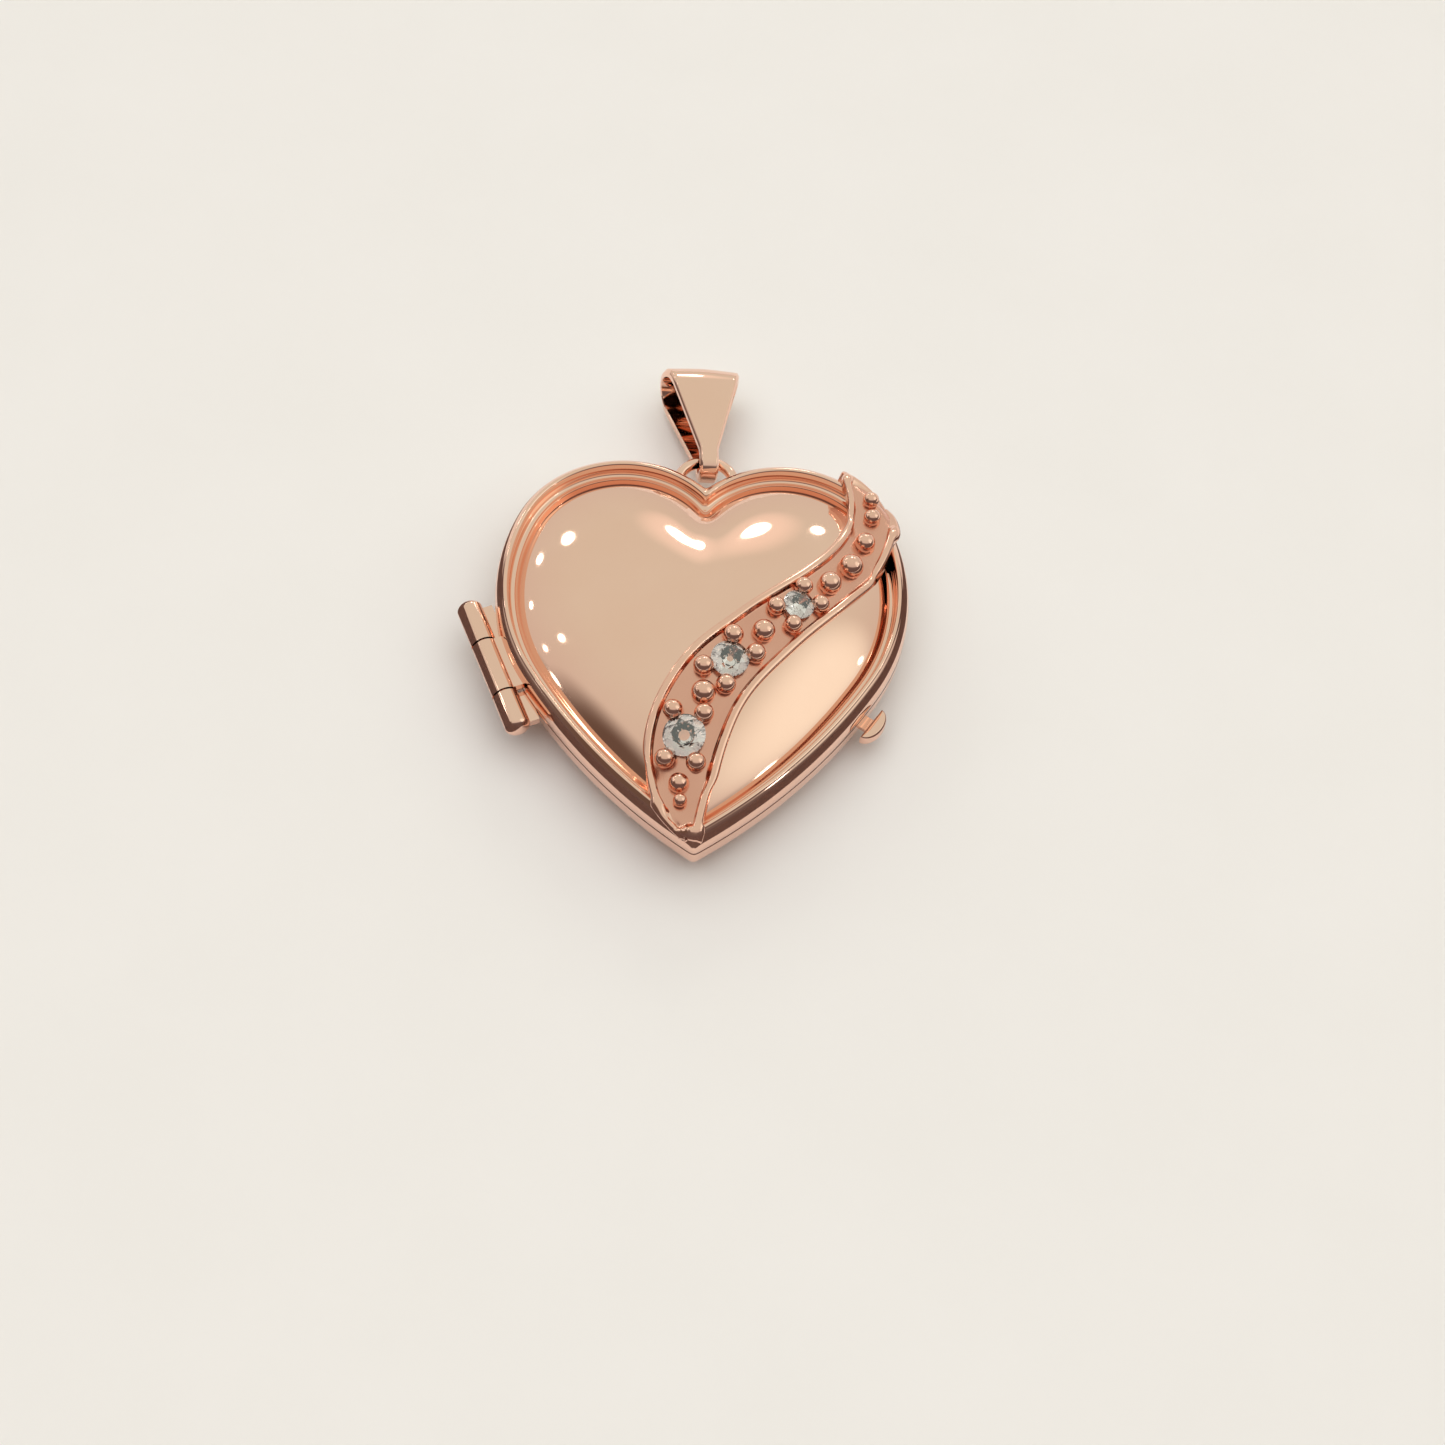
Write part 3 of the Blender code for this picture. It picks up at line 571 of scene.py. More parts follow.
def dome_height(scale):
    return GROOVE_HEIGHT + DOME_RISE * (1 - scale ** DOME_FULLNESS) ** DOME_ROUNDNESS


def dome_rows(lift, lowest=0.0, count=DOME_ROWS):
    """Rows of the dome above a lowest height, up to its top point."""
    rows = []
    for i in range(count):
        scale = 1 - (i / count) ** DOME_CROWDING
        if dome_height(scale) > lowest:
            rows.append(row(soft_ring(scale), SEAM + dome_height(scale) + lift))
    rows.append([(0.0, DOME_CENTER_Y, SEAM + dome_height(0.0) + lift)])
    return rows


def quarter(start, stop, rise_first, steps):
    """Quarter ellipse between (inset, height) points; rise_first leaves its start upright."""
    points = []
    for i in range(1, steps + 1):
        turn = math.pi / 2 * i / steps
        along, up = math.sin(turn), 1 - math.cos(turn)
        if rise_first:
            along, up = 1 - math.cos(turn), math.sin(turn)
        points.append((start[0] + (stop[0] - start[0]) * along,
                       start[1] + (stop[1] - start[1]) * up))
    return points


def curve(start, lean_in, stop, lean_out, steps):
    """Smooth curve between two (inset, height) points; the leans are its angles from upright."""
    start, stop = np.array(start), np.array(stop)
    pull = np.linalg.norm(stop - start) * CURVE_PULL
    first = start + pull * np.array([math.sin(lean_in), math.cos(lean_in)])
    second = stop - pull * np.array([math.sin(lean_out), math.cos(lean_out)])
    points = []
    for i in range(1, steps + 1):
        t = i / steps
        points.append(tuple((1 - t) ** 3 * start + 3 * t * (1 - t) ** 2 * first
                            + 3 * t * t * (1 - t) * second + t ** 3 * stop))
    return points


def crest_point(tilt):
    """Point on the rim's rounded crest, where its skin leans outwards by a tilt."""
    return RIM_CREST - RIM_EDGE * math.sin(tilt), RIM_HEIGHT - RIM_EDGE * (1 - math.cos(tilt))


def rim_side(steps=RIM_STEPS):
    """The rim's outer side up to its crest, as (inset, height above the seam)."""
    foot = (0.0, RIM_STRAIGHT)
    edge = [(EDGE_BREAK, 0.0), (EDGE_BREAK / 4, EDGE_BREAK / 4), (0.0, EDGE_BREAK), foot]
    side = curve(foot, RIM_TILT_LOW, crest_point(RIM_TILT_HIGH), RIM_TILT_HIGH, steps)
    crest = [crest_point(a) for a in np.linspace(RIM_TILT_HIGH, 0.0, RIM_EDGE_STEPS)[1:]]
    return edge + side + crest


def rim_inside():
    """The rim's inner side, from its crest down into the groove."""
    crest = [crest_point(a) for a in np.linspace(0.0, -RIM_FALL, RIM_EDGE_STEPS + 1)[1:]]
    return crest + curve(crest[-1], math.pi / 2 + RIM_FALL, (GROOVE_INSET, GROOVE_HEIGHT),
                         GROOVE_LEAN, GROOVE_STEPS)


def make_front_shell():
    outside = heart_rows(rim_side() + rim_inside(), SEAM) + dome_rows(0.0)
    hollow = [(WALL, 0.0), (WALL, RIM_HEIGHT / 2), (RIM_CREST, RIM_HEIGHT - WALL),
              ((WALL + GROOVE_INSET) / 2, RIM_HEIGHT / 2),
              (GROOVE_INSET, GROOVE_HEIGHT - DOME_WALL)]
    lining = heart_rows(hollow, SEAM) + dome_rows(-DOME_WALL, count=DOME_LINING_ROWS)
    mesh = loft("front_shell", lining[::-1] + outside)
    add_piece("front_shell", mesh, MIRROR, "case_front", "front_cover")


def make_back_shell():
    side = BACK_DEPTH - BACK_STRAIGHT
    section = [(PANEL_INSET, 0.0)] + quarter((PANEL_INSET, 0.0), (0.0, side), False, BACK_STEPS)
    section += [(0.0, BACK_DEPTH - EDGE_BREAK), (EDGE_BREAK, BACK_DEPTH), (WALL, BACK_DEPTH),
                (WALL, side)]
    section += quarter((WALL, side), (PANEL_INSET, WALL), True, BACK_LINING_STEPS)
    rows = [[(0.0, DOME_CENTER_Y, 0.0)]] + heart_rows(section) + [[(0.0, DOME_CENTER_Y, WALL)]]
    mesh = loft("back_shell", rows)
    add_piece("back_shell", mesh, MIRROR, "case_back", "back_cover")


def ring_piece(name, outer, width, body, node):
    """Heart-shaped flat ring with broken edges that fills its CAD node's height."""
    low, high = box_mm(node)
    inner, bottom, top, edge = outer + width, low[2], high[2], FRAME_BREAK
    section = ((outer, bottom + edge), (outer, top - edge), (outer + edge, top),
               (inner - edge, top), (inner, top - edge), (inner, bottom + edge),
               (inner - edge, bottom), (outer + edge, bottom))
    add_piece(name, loft(name, heart_rows(section), closed=True), SATIN, body, node)


def sheet_piece(name, inset, material, body, node):
    """Heart-shaped flat sheet that fills its CAD node's height."""
    low, high = box_mm(node)
    mesh = loft(name, heart_rows([(inset, low[2]), (inset, high[2])]))
    add_piece(name, mesh, material, body, node)


def make_recesses():
    ring_piece("spring_lip", WALL + LIP_GAP, LIP_THICKNESS, "case_back", "closing_lip")
    for half in ("front", "back"):
        body = "case_" + half
        ring_piece("retaining_frame_" + half, FRAME_INSET, FRAME_WIDTH, body, "photo_frame_" + half)
        sheet_piece("acetate_window_" + half, FRAME_INSET + WINDOW_CLEARANCE, ACETATE, body,
                    "photo_window_" + half)
        sheet_piece("blank_card_" + half, CARD_INSET, CARD, body,
                    "photo_card_" + half)


# ---- Swirl band ----------------------------------------------------------------------------

def rail_point(points, place):
    """Catmull-Rom curve through a rail's points; place counts the points from the lobe."""
    first = min(int(place), len(points) - 2)
    share = place - first
    before, start, stop, after = [np.array(points[min(max(first + i, 0), len(points) - 1)])
                                  for i in (-1, 0, 1, 2)]
    spot = (2 * start + (stop - before) * share
            + (2 * before - 5 * start + 4 * stop - after) * share ** 2
            + (3 * start - before - 3 * stop + after) * share ** 3) / 2
    return spot * WIDTH / 2


def band_middle(place):
    return (rail_point(LEFT_RAIL, place) + rail_point(RIGHT_RAIL, place)) / 2


def tree_of(rows):
    """A form to drop points on to, from rows skinned like a piece."""
    mesh = loft("guide", rows)
    tree = BVHTree.FromPolygons([v.co / MM for v in mesh.vertices],
                                [p.vertices for p in mesh.polygons])
    bpy.data.meshes.remove(mesh)
    return tree


def drop(tree, x, y):
    """Point on a form straight below a place, or the nearest one beside its edge."""
    found = tree.ray_cast(Vector((x, y, DROP_FROM)), Vector((0, 0, -1)))[0]
    return found or tree.find_nearest(Vector((x, y, SEAM + RIM_HEIGHT)))[0]


def bridged_form():
    """What the band lies on: the front with its groove bridged from the rim's crest."""
    crest = heart_rows([(RIM_CREST, 0.0), (RIM_CREST, RIM_HEIGHT)], SEAM)
    return tree_of(crest + dome_rows(0.0, RIM_HEIGHT))


def unrolled_side():
    """Distances down from the rim's crest, with the insets and heights there."""
    side = np.array(rim_side(SIDE_STEPS)[::-1])
    steps = np.linalg.norm(np.diff(side, axis=0), axis=1)
    return np.append(0.0, np.cumsum(steps)), side[:, 0], side[:, 1]


def lay_on_case(plan, form):
    """Plan points as points on the case; past the rim's crest they run down the rim's side."""
    outline = heart_ring(0.0)
    step = np.roll(outline, -1, axis=0) - outline
    down, insets, heights = unrolled_side()
    laid = []
    for point in plan:
        share = ((point - outline) * step).sum(axis=1) / (step ** 2).sum(axis=1)
        near = outline + step * np.clip(share, 0.0, 1.0)[:, None]
        k = int(np.linalg.norm(point - near, axis=1).argmin())
        inward = np.array([-step[k][1], step[k][0]]) / np.linalg.norm(step[k])
        inset = float((point - near[k]) @ inward)
        if inset > RIM_CREST:
            laid.append(tuple(drop(form, *point)))
        else:
            travel = RIM_CREST - inset
            foot = near[k] + inward * np.interp(travel, down, insets)
            laid.append((foot[0], foot[1], SEAM + np.interp(travel, down, heights)))
    return np.array(laid)


def blend_height(column, line):
    """Height over the case from the rail sections of the band's long sides and of its ends."""
    outer = [up for place, up in (column, line) if place < RAIL_CREST]
    return min(outer) if outer else max(column[1], line[1])


def band_columns(width):
    """Distance from the left edge, and the section there, for each column across the band."""
    rail = [(d, (d, up)) for d, up in RAIL_SECTION]
    middle = [(RAIL_WIDTH + (width - 2 * RAIL_WIDTH) * i / FLOOR_COLUMNS, (width, FLOOR_HEIGHT))
              for i in range(1, FLOOR_COLUMNS)]
    return rail + middle + [(width - d, section) for d, section in reversed(rail)]


def band_lines():
    """Place along the band, and the section there, for each line across it."""
    lobe = np.linalg.norm(band_middle(SHORT_WAY) - band_middle(0.0)) / SHORT_WAY
    tip = np.linalg.norm(band_middle(BAND_LAST) - band_middle(BAND_LAST - SHORT_WAY)) / SHORT_WAY
    start, stop = RAIL_WIDTH / lobe, BAND_LAST - RAIL_WIDTH / tip
    lines = [(d / lobe, (d, up)) for d, up in RAIL_SECTION]
    lines += [(start + (stop - start) * i / BAND_STEPS, (WIDTH, FLOOR_HEIGHT))
              for i in range(1, BAND_STEPS)]
    return lines + [(BAND_LAST - d / tip, (d, up)) for d, up in reversed(RAIL_SECTION)]


def band_grid(form):
    """Points on the case, outward directions and heights of the band, by lines and columns."""
    plans, heights = [], []
    for place, line in band_lines():
        left, right = rail_point(LEFT_RAIL, place), rail_point(RIGHT_RAIL, place)
        width = np.linalg.norm(right - left)
        columns = band_columns(width)
        across = (right - left) / width
        out = np.array([-across[1], across[0]]) * END_BULGE * max(1 - place, 0.0) ** 2
        plans.append([left + across * d + out * 4 * d * (width - d) / width ** 2
                      for d, _ in columns])
        heights.append([blend_height(section, line) for _, section in columns])
    plans = np.array(plans)
    lines, columns = plans.shape[:2]
    base = lay_on_case(plans.reshape(-1, 2), form).reshape(lines, columns, 3)
    smooth = base.copy()
    for _ in range(BAND_SMOOTHING):
        smooth[1:-1] = (smooth[:-2] + 2 * smooth[1:-1] + smooth[2:]) / 4
    base[:, :, 2] = np.maximum(base[:, :, 2], smooth[:, :, 2])
    below = np.clip((SEAM + RIM_HEIGHT - base[:, :, 2]) / (RIM_HEIGHT - RIM_STRAIGHT), 0.0, 1.0)
    return base, outward(base), np.array(heights) * (1 - (1 - SIDE_HEIGHT) * below)


def outward(base):
    """Unit directions out of a grid of points, from their neighbours a few steps away."""
    reach = SLOPE_STEPS
    padded = np.pad(base, ((reach, reach), (reach, reach), (0, 0)), mode="edge")
    along = padded[2 * reach:, reach:-reach] - padded[:-2 * reach, reach:-reach]
    across = padded[reach:-reach, 2 * reach:] - padded[reach:-reach, :-2 * reach]
    across[:, 0] = across[:, reach]
    across[:, -1] = across[:, -1 - reach]
    away = np.cross(along, across)
    away /= np.linalg.norm(away, axis=2, keepdims=True)
    return away * np.sign(away[:, :, 2:3].mean())


def make_band_mesh(form):
    """Top and underside of the band with a wall round them; its sunk floor is dipped, not cast, in
    darker gold that is painted shade between the beads.
    """
    base, away, heights = band_grid(form)
    lines, columns = heights.shape
    top = base + away * heights[:, :, None]
    under = base - away * BAND_SINK
    points = np.vstack([top.reshape(-1, 3), under.reshape(-1, 3)])
    faces = []
    size = lines * columns
    for i in range(lines - 1):
        for j in range(columns - 1):
            k = i * columns + j
            quad = [k, k + 1, k + columns + 1, k + columns]
            faces.append(quad)
            faces.append([size + v for v in reversed(quad)])
    edge = list(range(columns))
    edge += [i * columns + columns - 1 for i in range(1, lines)]
    edge += [(lines - 1) * columns + j for j in range(columns - 2, -1, -1)]
    edge += [i * columns for i in range(lines - 2, 0, -1)]
    for a, b in zip(edge, edge[1:] + edge[:1]):
        faces.append([a, size + a, size + b, b])
    mesh = mesh_of("band_casting", points, faces)
    heights = heights.ravel()
    mesh.materials.append(CAST)
    mesh.materials.append(DIPPED_SHADED)
    # The sunk floor's faces take the dipped gold, whose darker tones are painted shade between the
    # beads.
    for face in mesh.polygons:
        if all(v < size and heights[v] <= RAIL_FOOT_HEIGHT for v in face.vertices):
            face.material_index = 1
    return mesh

def band_place(form, place):
    """Frame on the case at a place along the band: origin, X along the band, Z out of the case."""
    def near(x, y):
        return Vector(lay_on_case([np.array([x, y])], form)[0])

    x, y = band_middle(place)
    ahead = band_middle(min(place + LOOK_AHEAD, BAND_LAST)) - band_middle(place)
    slope_x = near(x + SLOPE_REACH, y) - near(x - SLOPE_REACH, y)
    slope_y = near(x, y + SLOPE_REACH) - near(x, y - SLOPE_REACH)
    up = slope_x.cross(slope_y).normalized()
    along = Vector((*ahead, 0.0))
    along = (along - up * along.dot(up)).normalized()
    turn = Matrix((along, up.cross(along), up)).transposed().to_4x4()
    return Matrix.Translation(near(x, y)) @ turn


def make_beads(form):
    """Beads between the stones and the prong heads round each stone."""
    bm = bmesh.new()

    def bead(place, x, y, lift, radius):
        spot = in_metres(band_place(form, place) @ Matrix.Translation((x, y, lift)))
        bmesh.ops.create_uvsphere(bm, u_segments=BEAD_SIDES, v_segments=BEAD_SIDES // 2,
                                  radius=radius * MM, matrix=spot)

    for place, radius in BEADS:
        bead(place, 0.0, 0.0, BEAD_LIFT, radius)
    for _, place, diameter, radius in STONES:
        reach = diameter / 2 + radius * PRONG_HOLD
        for angle in (PRONG_ANGLE, -PRONG_ANGLE, math.pi - PRONG_ANGLE, math.pi + PRONG_ANGLE):
            bead(place, reach * math.cos(angle), reach * math.sin(angle), PRONG_LIFT, radius)
    mesh = bpy.data.meshes.new("beads")
    bm.to_mesh(mesh)
    bm.free()
    mesh.materials.append(CAST)
    return mesh


def seat_mesh(diameter):
    """Shape of the seat bored for a stone: a cone up to a ledge, then a wall."""
    foot, wall = diameter / 2 * SEAT_FOOT, diameter / 2 + SEAT_CLEARANCE
    angles = np.linspace(0, 2 * math.pi, SEAT_SIDES, endpoint=False)
    rows = [[(0.0, 0.0, 0.0)]]
    for r, z in ((foot, SEAT_FOOT_HEIGHT), (wall, SEAT_LEDGE), (wall, SEAT_TOP)):
        rows.append([(r * math.cos(a), r * math.sin(a), z) for a in angles])
    return loft("seat", rows)


def make_band(form):
    band = add_piece("band_casting", make_band_mesh(form), CAST, "case_front",
                     "swirl_band")
    for _, place, diameter, _ in STONES:
        cutter = linked_object("seat", seat_mesh(diameter))
        cutter.matrix_world = in_metres(band_place(form, place))
        bpy.context.view_layer.update()
        apply_boolean(band, cutter, "DIFFERENCE")
    apply_boolean(band, linked_object("beads", make_beads(form)), "UNION")
    shade(band.data, CRISP_ANGLE)


# ---- Stones --------------------------------------------------------------------------------

def brilliant(name, diameter):
    """Round brilliant cut: a girdle, kites, a table and mains, as the hull of its corners."""
    radius = diameter / 2
    crown = STONE_GIRDLE + GIRDLE_THICKNESS
    bm = bmesh.new()

    def corners(count, r, height, turn=0.0):
        for i in range(count):
            a = 2 * math.pi * (i + turn) / count
            bm.verts.new(Vector((r * math.cos(a), r * math.sin(a), height)) * MM)

    corners(GIRDLE_SIDES, radius, STONE_GIRDLE)
    corners(GIRDLE_SIDES, radius, crown)
    corners(MAINS, radius * KITE_RADIUS, crown + KITE_RISE * diameter, 0.5)
    corners(MAINS, radius * TABLE_RADIUS, crown + TABLE_RISE * diameter)
    corners(MAINS, radius * PAVILION_RADIUS, STONE_GIRDLE - PAVILION_DROP * diameter)
    bm.verts.new(Vector((0.0, 0.0, STONE_GIRDLE - CULET_DROP * diameter)) * MM)
    bmesh.ops.convex_hull(bm, input=bm.verts)
    loose = [v for v in bm.verts if not v.link_faces]
    bmesh.ops.delete(bm, geom=loose, context="VERTS")
    bmesh.ops.dissolve_limit(bm, angle_limit=FLAT_WITHIN, verts=bm.verts, edges=bm.edges)
    bmesh.ops.recalc_face_normals(bm, faces=bm.faces)
    mesh = bpy.data.meshes.new(name)
    bm.to_mesh(mesh)
    bm.free()
    return mesh


def make_stones(form):
    for name, place, diameter, _ in STONES:
        piece_name = "brilliant_" + name
        mesh = brilliant(piece_name, diameter)
        mesh.transform(in_metres(band_place(form, place)))
        add_piece(piece_name, mesh, DIAMOND, "case_front", "diamond_" + name,
                  FACET_ANGLE)
        mesh.shade_flat()


# ---- Hinge, tab, ring ----------------------------------------------------------------------

def joint_place(name):
    """Where a joint's axis goes through, from the frame."""
    joint = next(j for j in frame["joints"] if j["name"] == name)
    return Vector(joint["pos_m"]) / MM


def hinge_frame():
    """Frame on the hinge's axis: X into the case, Y out of the front, Z along the pin."""
    up = Vector((0.0, 0.0, 1.0))
    inward = Vector((math.cos(HINGE_ANGLE), -math.sin(HINGE_ANGLE), 0.0))
    turn = Matrix((inward, up, inward.cross(up))).transposed().to_4x4()
    return Matrix.Translation(joint_place("case_hinge")) @ turn


def turned(name, profile, steps=TURNED_SIDES):
    """Spin a profile of (radius, height) about Z; points on the axis close it."""
    angles = [2 * math.pi * i / steps for i in range(steps)]
    rows = []
    for radius, height in profile:
        if radius == 0.0:
            rows.append([(0.0, 0.0, height)])
        else:
            rows.append([(radius * math.cos(a), radius * math.sin(a), height) for a in angles])
    return loft(name, rows, closed=profile[0][0] != 0.0)


def leaf_mesh(name, span, side):
    """Leaf that joins a knuckle to its shell; side is 1 above the seam and -1 below it."""
    near, far = side * LEAF_CLEARANCE, side * LEAF_THICKNESS
    inner = (KNUCKLE_RADIUS + BORE_RADIUS) / 2
    outline = [(inner, near), (LEAF_REACH, near), (LEAF_REACH, far), (inner, far)]
    return loft(name, [row(outline, span[0]), row(outline, span[1])])


def add_knuckle(which, profile, leaf_span, side, body):
    """Rolled tube with its leaf, joined and with every edge softened by polishing."""
    name = "rolled_knuckle_" + which
    piece = add_piece(name, turned(name, profile), MIRROR, body,
                      "hinge_knuckle_" + which)
    apply_boolean(piece, linked_object("leaf", leaf_mesh("leaf", leaf_span, side)), "UNION")
    piece.data.transform(in_metres(hinge_frame()))
    soften = piece.modifiers.new("polished edges", "BEVEL")
    soften.width = KNUCKLE_BREAK * MM
    soften.segments = KNUCKLE_BREAK_STEPS
    soften.limit_method = "ANGLE"
    soften.angle_limit = SHARP_ANGLE
    shade(piece.data)


def end_profile(mouth, closed_end):
    """Blind knuckle: bore from its mouth, and a domed closed end."""
    way = 1 if closed_end > mouth else -1
    stop = closed_end - way * (PIN_END_MARGIN - PIN_END_PLAY)
    dome = []
    for i in range(KNUCKLE_DOME_STEPS):
        turn = math.pi / 2 * i / KNUCKLE_DOME_STEPS
        dome.append((KNUCKLE_RADIUS * math.cos(turn),
                     closed_end - way * KNUCKLE_DOME * (1 - math.sin(turn))))
    bore = [(0.0, stop), (BORE_RADIUS, stop), (BORE_RADIUS, mouth), (KNUCKLE_RADIUS, mouth)]
    return bore + dome + [(0.0, closed_end)]


def make_hinge():
    spans, start = [], HINGE_START
    for length in KNUCKLE_LENGTHS:
        spans.append((start, start + length))
        start += length + KNUCKLE_GAP
    upper, middle, lower = spans
    tube = [(BORE_RADIUS, middle[0]), (KNUCKLE_RADIUS, middle[0]), (KNUCKLE_RADIUS, middle[1]),
            (BORE_RADIUS, middle[1])]
    add_knuckle("upper", end_profile(upper[1], upper[0]), (upper[0] + KNUCKLE_DOME, upper[1]), -1,
                "case_back")
    add_knuckle("lower", end_profile(lower[0], lower[1]), (lower[0], lower[1] - KNUCKLE_DOME), -1,
                "case_back")
    add_knuckle("middle", tube, middle, 1, "case_front")
    frame["nodes"]["hinge_pin"].data.materials.clear()
    frame["nodes"]["hinge_pin"].data.materials.append(SATIN)


def make_tab():
    """Half-moon fingernail tab, pillowed on top, on a short neck."""
    low, high = box_mm("thumb_tab")
    edge = [(inset, low[2] + up) for inset, up in TAB_LOW_EDGE]
    edge += [(inset, high[2] - down) for inset, down in TAB_HIGH_EDGE]
    rows = []
    for inset, height in edge:
        reach, half, flat = TAB_REACH - inset, TAB_HALF_WIDTH - inset, TAB_NECK + inset
        moon = [(flat + (reach - flat) * math.sin(a), -half * math.cos(a))
                for a in np.linspace(0.0, math.pi, TAB_ROUND_STEPS)]
        back = [(flat, y) for y in np.linspace(half, -half, TAB_FLAT_STEPS)[1:-1]]
        rows.append(row(moon + back, height))
    rows.append([((TAB_NECK + TAB_REACH) / 2, 0.0, high[2] + TAB_PILLOW)])
    piece = add_piece("nail_tab", loft("nail_tab", rows), MIRROR, "case_back",
                      "thumb_tab")
    neck = [(-NECK_OVERLAP, -NECK_HALF_WIDTH), (TAB_NECK + NECK_OVERLAP, -NECK_HALF_WIDTH),
            (TAB_NECK + NECK_OVERLAP, NECK_HALF_WIDTH), (-NECK_OVERLAP, NECK_HALF_WIDTH)]
    neck_mesh = loft("neck", [row(neck, low[2] + NECK_LOW), row(neck, low[2] + NECK_HIGH)])
    apply_boolean(piece, linked_object("neck", neck_mesh), "UNION")
    flank = arc_centers()[2]
    x, y = flank + FLANK_RADIUS * np.array([math.cos(TAB_ANGLE), math.sin(TAB_ANGLE)])
    turn = Matrix.Rotation(TAB_ANGLE, 4, "Z")
    piece.data.transform(in_metres(Matrix.Translation((x, y, 0.0)) @ turn))
    shade(piece.data)


def make_hanging_ring():
    section = [(RING_RADIUS + RING_WIRE * math.cos(a), RING_WIRE * math.sin(a))
               for a in np.linspace(0.0, 2 * math.pi, RING_WIRE_SIDES, endpoint=False)]
    mesh = turned("jump_ring", section, RING_SIDES)
    center = joint_place("bail_swing") - Vector((0.0, RING_RADIUS, 0.0))
    mesh.transform(Matrix.Translation(center * MM))
    add_piece("jump_ring", mesh, MIRROR, "case_back", "bail_ring")


# ---- Bail ----------------------------------------------------------------------------------

def bail_width(distance):
    share = min(max((distance - BAIL_FLARE_START) / (BAIL_LENGTH - BAIL_FLARE_START), 0.0), 1.0)
    return BAIL_FOOT_WIDTH + (BAIL_TOP_WIDTH - BAIL_FOOT_WIDTH) * share


def bail_line():
    """The strip's middle line from the side, and its two ends' radii and distance.

    Each point is its place along Y, its height and the angle of the strip's outer face.
    """
    foot = RING_WIRE + BAIL_FOOT_CLEARANCE + BAIL_THICKNESS / 2
    top = BAIL_TOP_RADIUS - BAIL_THICKNESS / 2
    reach = BAIL_LENGTH - foot - top - BAIL_THICKNESS
    lean = math.acos((foot - top) / reach)
    over = [(reach + top * math.cos(a), top * math.sin(a), a)
            for a in np.linspace(-lean, lean, BAIL_TOP_STEPS)]
    under = [(foot * math.cos(a), foot * math.sin(a), a)
             for a in np.linspace(lean, 2 * math.pi - lean, BAIL_FOOT_STEPS)]

    def leg(start, stop):
        shares = [i / BAIL_LEG_STEPS for i in range(1, BAIL_LEG_STEPS)]
        return [(start[0] + (stop[0] - start[0]) * share, start[1] + (stop[1] - start[1]) * share,
                 start[2]) for share in shares]

    return over + leg(over[-1], under[0]) + under + leg(under[-1], over[0]), foot, reach


def bail_section(width, crown):
    """Section across the strip: flat inside, softly crowned outside with broken edges."""
    half, bevel = BAIL_THICKNESS / 2, BAIL_BEVEL[-1][0]
    inner = [(-width + BAIL_INNER_BREAK, -half), (-width, -half + BAIL_INNER_BREAK)]
    edge = [(-width + aside, half - down) for aside, down in BAIL_BEVEL]
    face = [(x * (width - bevel), half + crown * (1 - abs(x) ** BAIL_CROWN_FULLNESS))
            for x in np.linspace(-BAIL_CROWN_REACH, BAIL_CROWN_REACH, BAIL_CROWN_STEPS)]
    right = [(-x, up) for x, up in reversed(inner + edge)]
    return inner + edge + face + right


def make_bail():
    line, foot, reach = bail_line()
    rows = []
    for y, z, angle in line:
        distance = y + foot + BAIL_THICKNESS / 2
        crown = BAIL_CROWN * min(max(distance / BAIL_LENGTH, 0.0), 1.0)
        rows.append([(x, y + out * math.cos(angle) - BAIL_SLACK, z + out * math.sin(angle))
                     for x, out in bail_section(bail_width(distance) / 2, crown)])
    mesh = loft("tapered_bail", rows, closed=True)
    pivot = joint_place("bail_swing")
    edge = BAIL_TOP_RADIUS * math.cos(BAIL_ROLL) + BAIL_TOP_WIDTH / 2 * math.sin(BAIL_ROLL)
    pitch = math.asin((edge + BAIL_FLOOR_GAP - pivot.z) / (reach - BAIL_SLACK))
    turn = (Matrix.Rotation(BAIL_LEAN, 4, "Z") @ Matrix.Rotation(pitch, 4, "X")
            @ Matrix.Rotation(BAIL_ROLL, 4, "Y"))
    mesh.transform(in_metres(Matrix.Translation(pivot) @ turn))
    add_piece("tapered_bail", mesh, MIRROR, "bail", "bail", CRISP_ANGLE)


# ---- Stage ---------------------------------------------------------------------------------

def make_camera():
    azimuth, elevation, roll = (math.radians(a)
                                for a in (CAMERA_AZIMUTH, CAMERA_ELEVATION, CAMERA_ROLL))
    back = Vector((math.sin(azimuth) * math.cos(elevation),
                   -math.cos(azimuth) * math.cos(elevation), math.sin(elevation)))
    flat = Vector((math.cos(azimuth), math.sin(azimuth), 0.0))
    raised = back.cross(flat)
    right = flat * math.cos(roll) + raised * math.sin(roll)
    up = raised * math.cos(roll) - flat * math.sin(roll)
    data = bpy.data.cameras.new("camera")
    data.lens = CAMERA_LENS
    data.sensor_width = CAMERA_SENSOR
    data.clip_start = CAMERA_NEAR
    data.clip_end = CAMERA_FAR
    camera = linked_object("camera", data)
    place = Matrix.Translation((Vector(CAMERA_AIM) + back * CAMERA_DISTANCE) * MM)
    camera.matrix_world = place @ Matrix((right, up, back)).transposed().to_4x4()
    bpy.context.scene.camera = camera


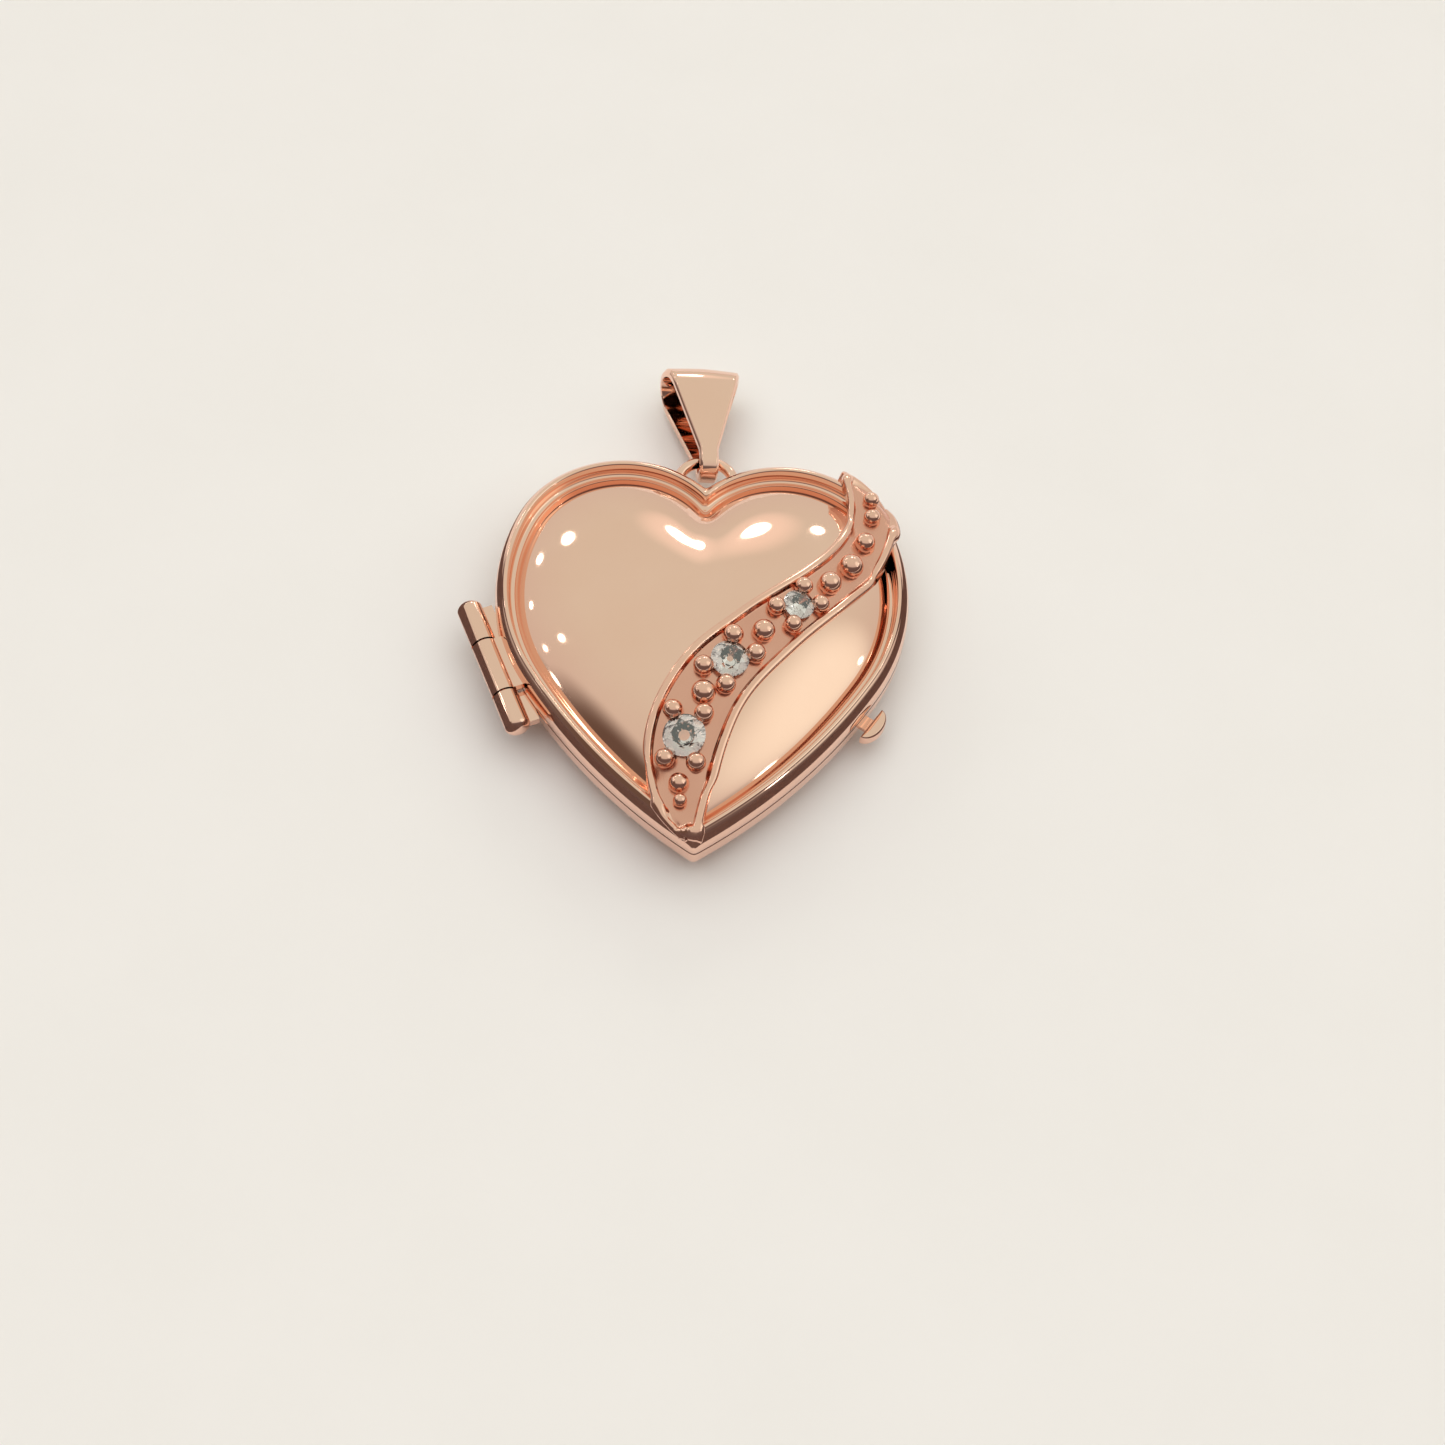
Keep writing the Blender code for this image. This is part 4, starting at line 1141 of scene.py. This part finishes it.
def make_floor():
    """Plain pale table top, with a faint mottle."""
    far = TABLE_REACH * MM
    mesh = bpy.data.meshes.new("table_top")
    corners = [(-far, -far, 0.0), (far, -far, 0.0), (far, far, 0.0), (-far, far, 0.0)]
    mesh.from_pydata(corners, [], [(0, 1, 2, 3)])
    floor = linked_object("table_top", mesh)
    material, tree, shader, place = new_material("matt_table_top")
    mottle = add_node(tree, "ShaderNodeTexNoise",
                      {"Vector": place, "Scale": per_metre(9.0), "Detail": 4.0})
    colour = add_node(tree, "ShaderNodeMix",
                      {0: mottle.outputs["Fac"], 6: linear("#EDE9E4"), 7: linear("#E9E5DF")},
                      data_type="RGBA")
    tree.links.new(colour.outputs[2], shader.inputs["Base Color"])
    shader.inputs["Roughness"].default_value = 0.6
    mesh.materials.append(material)


def direction(azimuth, elevation):
    """Unit vector; azimuth is anticlockwise from +X."""
    a, e = math.radians(azimuth), math.radians(elevation)
    return Vector((math.cos(a) * math.cos(e), math.sin(a) * math.cos(e), math.sin(e)))


def make_world():
    """Room round the table: dim near the horizon in front, pale above, with soft lamps in it."""
    world = bpy.data.worlds.new("studio")
    bpy.context.scene.world = world
    world.use_nodes = True
    tree = world.node_tree
    place = add_node(tree, "ShaderNodeTexCoord").outputs["Generated"]
    height = add_node(tree, "ShaderNodeVectorMath", {0: place, 1: ROOM_RISE},
                      operation="DOT_PRODUCT")
    ramp = add_node(tree, "ShaderNodeValToRGB", {"Fac": height.outputs["Value"]})
    stops = ramp.color_ramp.elements
    for stop, (position, colour) in zip(stops, (ROOM_TONES[0], ROOM_TONES[-1])):
        stop.position, stop.color = position, linear(colour)
    for position, colour in ROOM_TONES[1:-1]:
        stops.new(position).color = linear(colour)
    light = ramp.outputs["Color"]
    for azimuth, elevation, core, edge, brightness, hue in GLOWS:
        toward = add_node(tree, "ShaderNodeVectorMath",
                          {0: place, 1: tuple(direction(azimuth, elevation))},
                          operation="DOT_PRODUCT")
        share = add_node(tree, "ShaderNodeMapRange",
                         {"Value": toward.outputs["Value"],
                          "From Min": math.cos(math.radians(edge)),
                          "From Max": math.cos(math.radians(core))},
                         interpolation_type="SMOOTHSTEP")
        colour = [c * brightness for c in linear(hue)[:3]] + [1.0]
        light = add_node(tree, "ShaderNodeMix",
                         {0: share.outputs["Result"], 6: light, 7: colour},
                         data_type="RGBA").outputs[2]
    background = tree.nodes["Background"]
    tree.links.new(light, background.inputs["Color"])
    background.inputs["Strength"].default_value = WORLD_STRENGTH


def make_dark_felt():
    """Low dark felt stood round the locket, seen only in the polished metal, for its edges."""
    outline = heart_ring(-FELT_DISTANCE)[::FELT_SPACING]
    count = len(outline)
    points = row(outline, 0.0)
    points += [(x, y, FELT_HEIGHT * min(max((FELT_BACK - y) / FELT_TAPER, 0.0), 1.0))
               for x, y in outline]
    faces = [(i, (i + 1) % count, count + (i + 1) % count, count + i) for i in range(count)
             if outline[i][1] < FELT_BACK]
    mesh = mesh_of("dark_card", points, faces)
    felt = linked_object("dark_card", mesh)
    material, _, shader, _ = new_material("dark_felt")
    shader.inputs["Base Color"].default_value = linear("#7C6A68")
    shader.inputs["Roughness"].default_value = 1.0
    mesh.materials.append(material)
    felt.visible_camera = False
    felt.visible_diffuse = False
    felt.visible_transmission = False
    felt.visible_shadow = False


def make_fill():
    """Broad light overhead that softens the shadows and leaves no glint in the metal."""
    data = bpy.data.lights.new("fill", "AREA")
    data.shape = "SQUARE"
    data.size = FILL_SIZE * MM
    data.energy = FILL_BRIGHTNESS * math.pi * data.size ** 2
    data.color = linear("#FAF5FF")[:3]
    fill = linked_object("fill", data)
    fill.location.z = FILL_HEIGHT * MM
    fill.visible_glossy = False
    fill.visible_camera = False
    fill.visible_transmission = False


make_front_shell()
make_back_shell()
make_recesses()
FORM = bridged_form()
make_band(FORM)
make_stones(FORM)
make_hinge()
make_tab()
make_hanging_ring()
make_bail()
make_camera()
make_floor()
make_world()
make_dark_felt()
make_fill()
bpy.context.scene.view_settings.view_transform = "Standard"
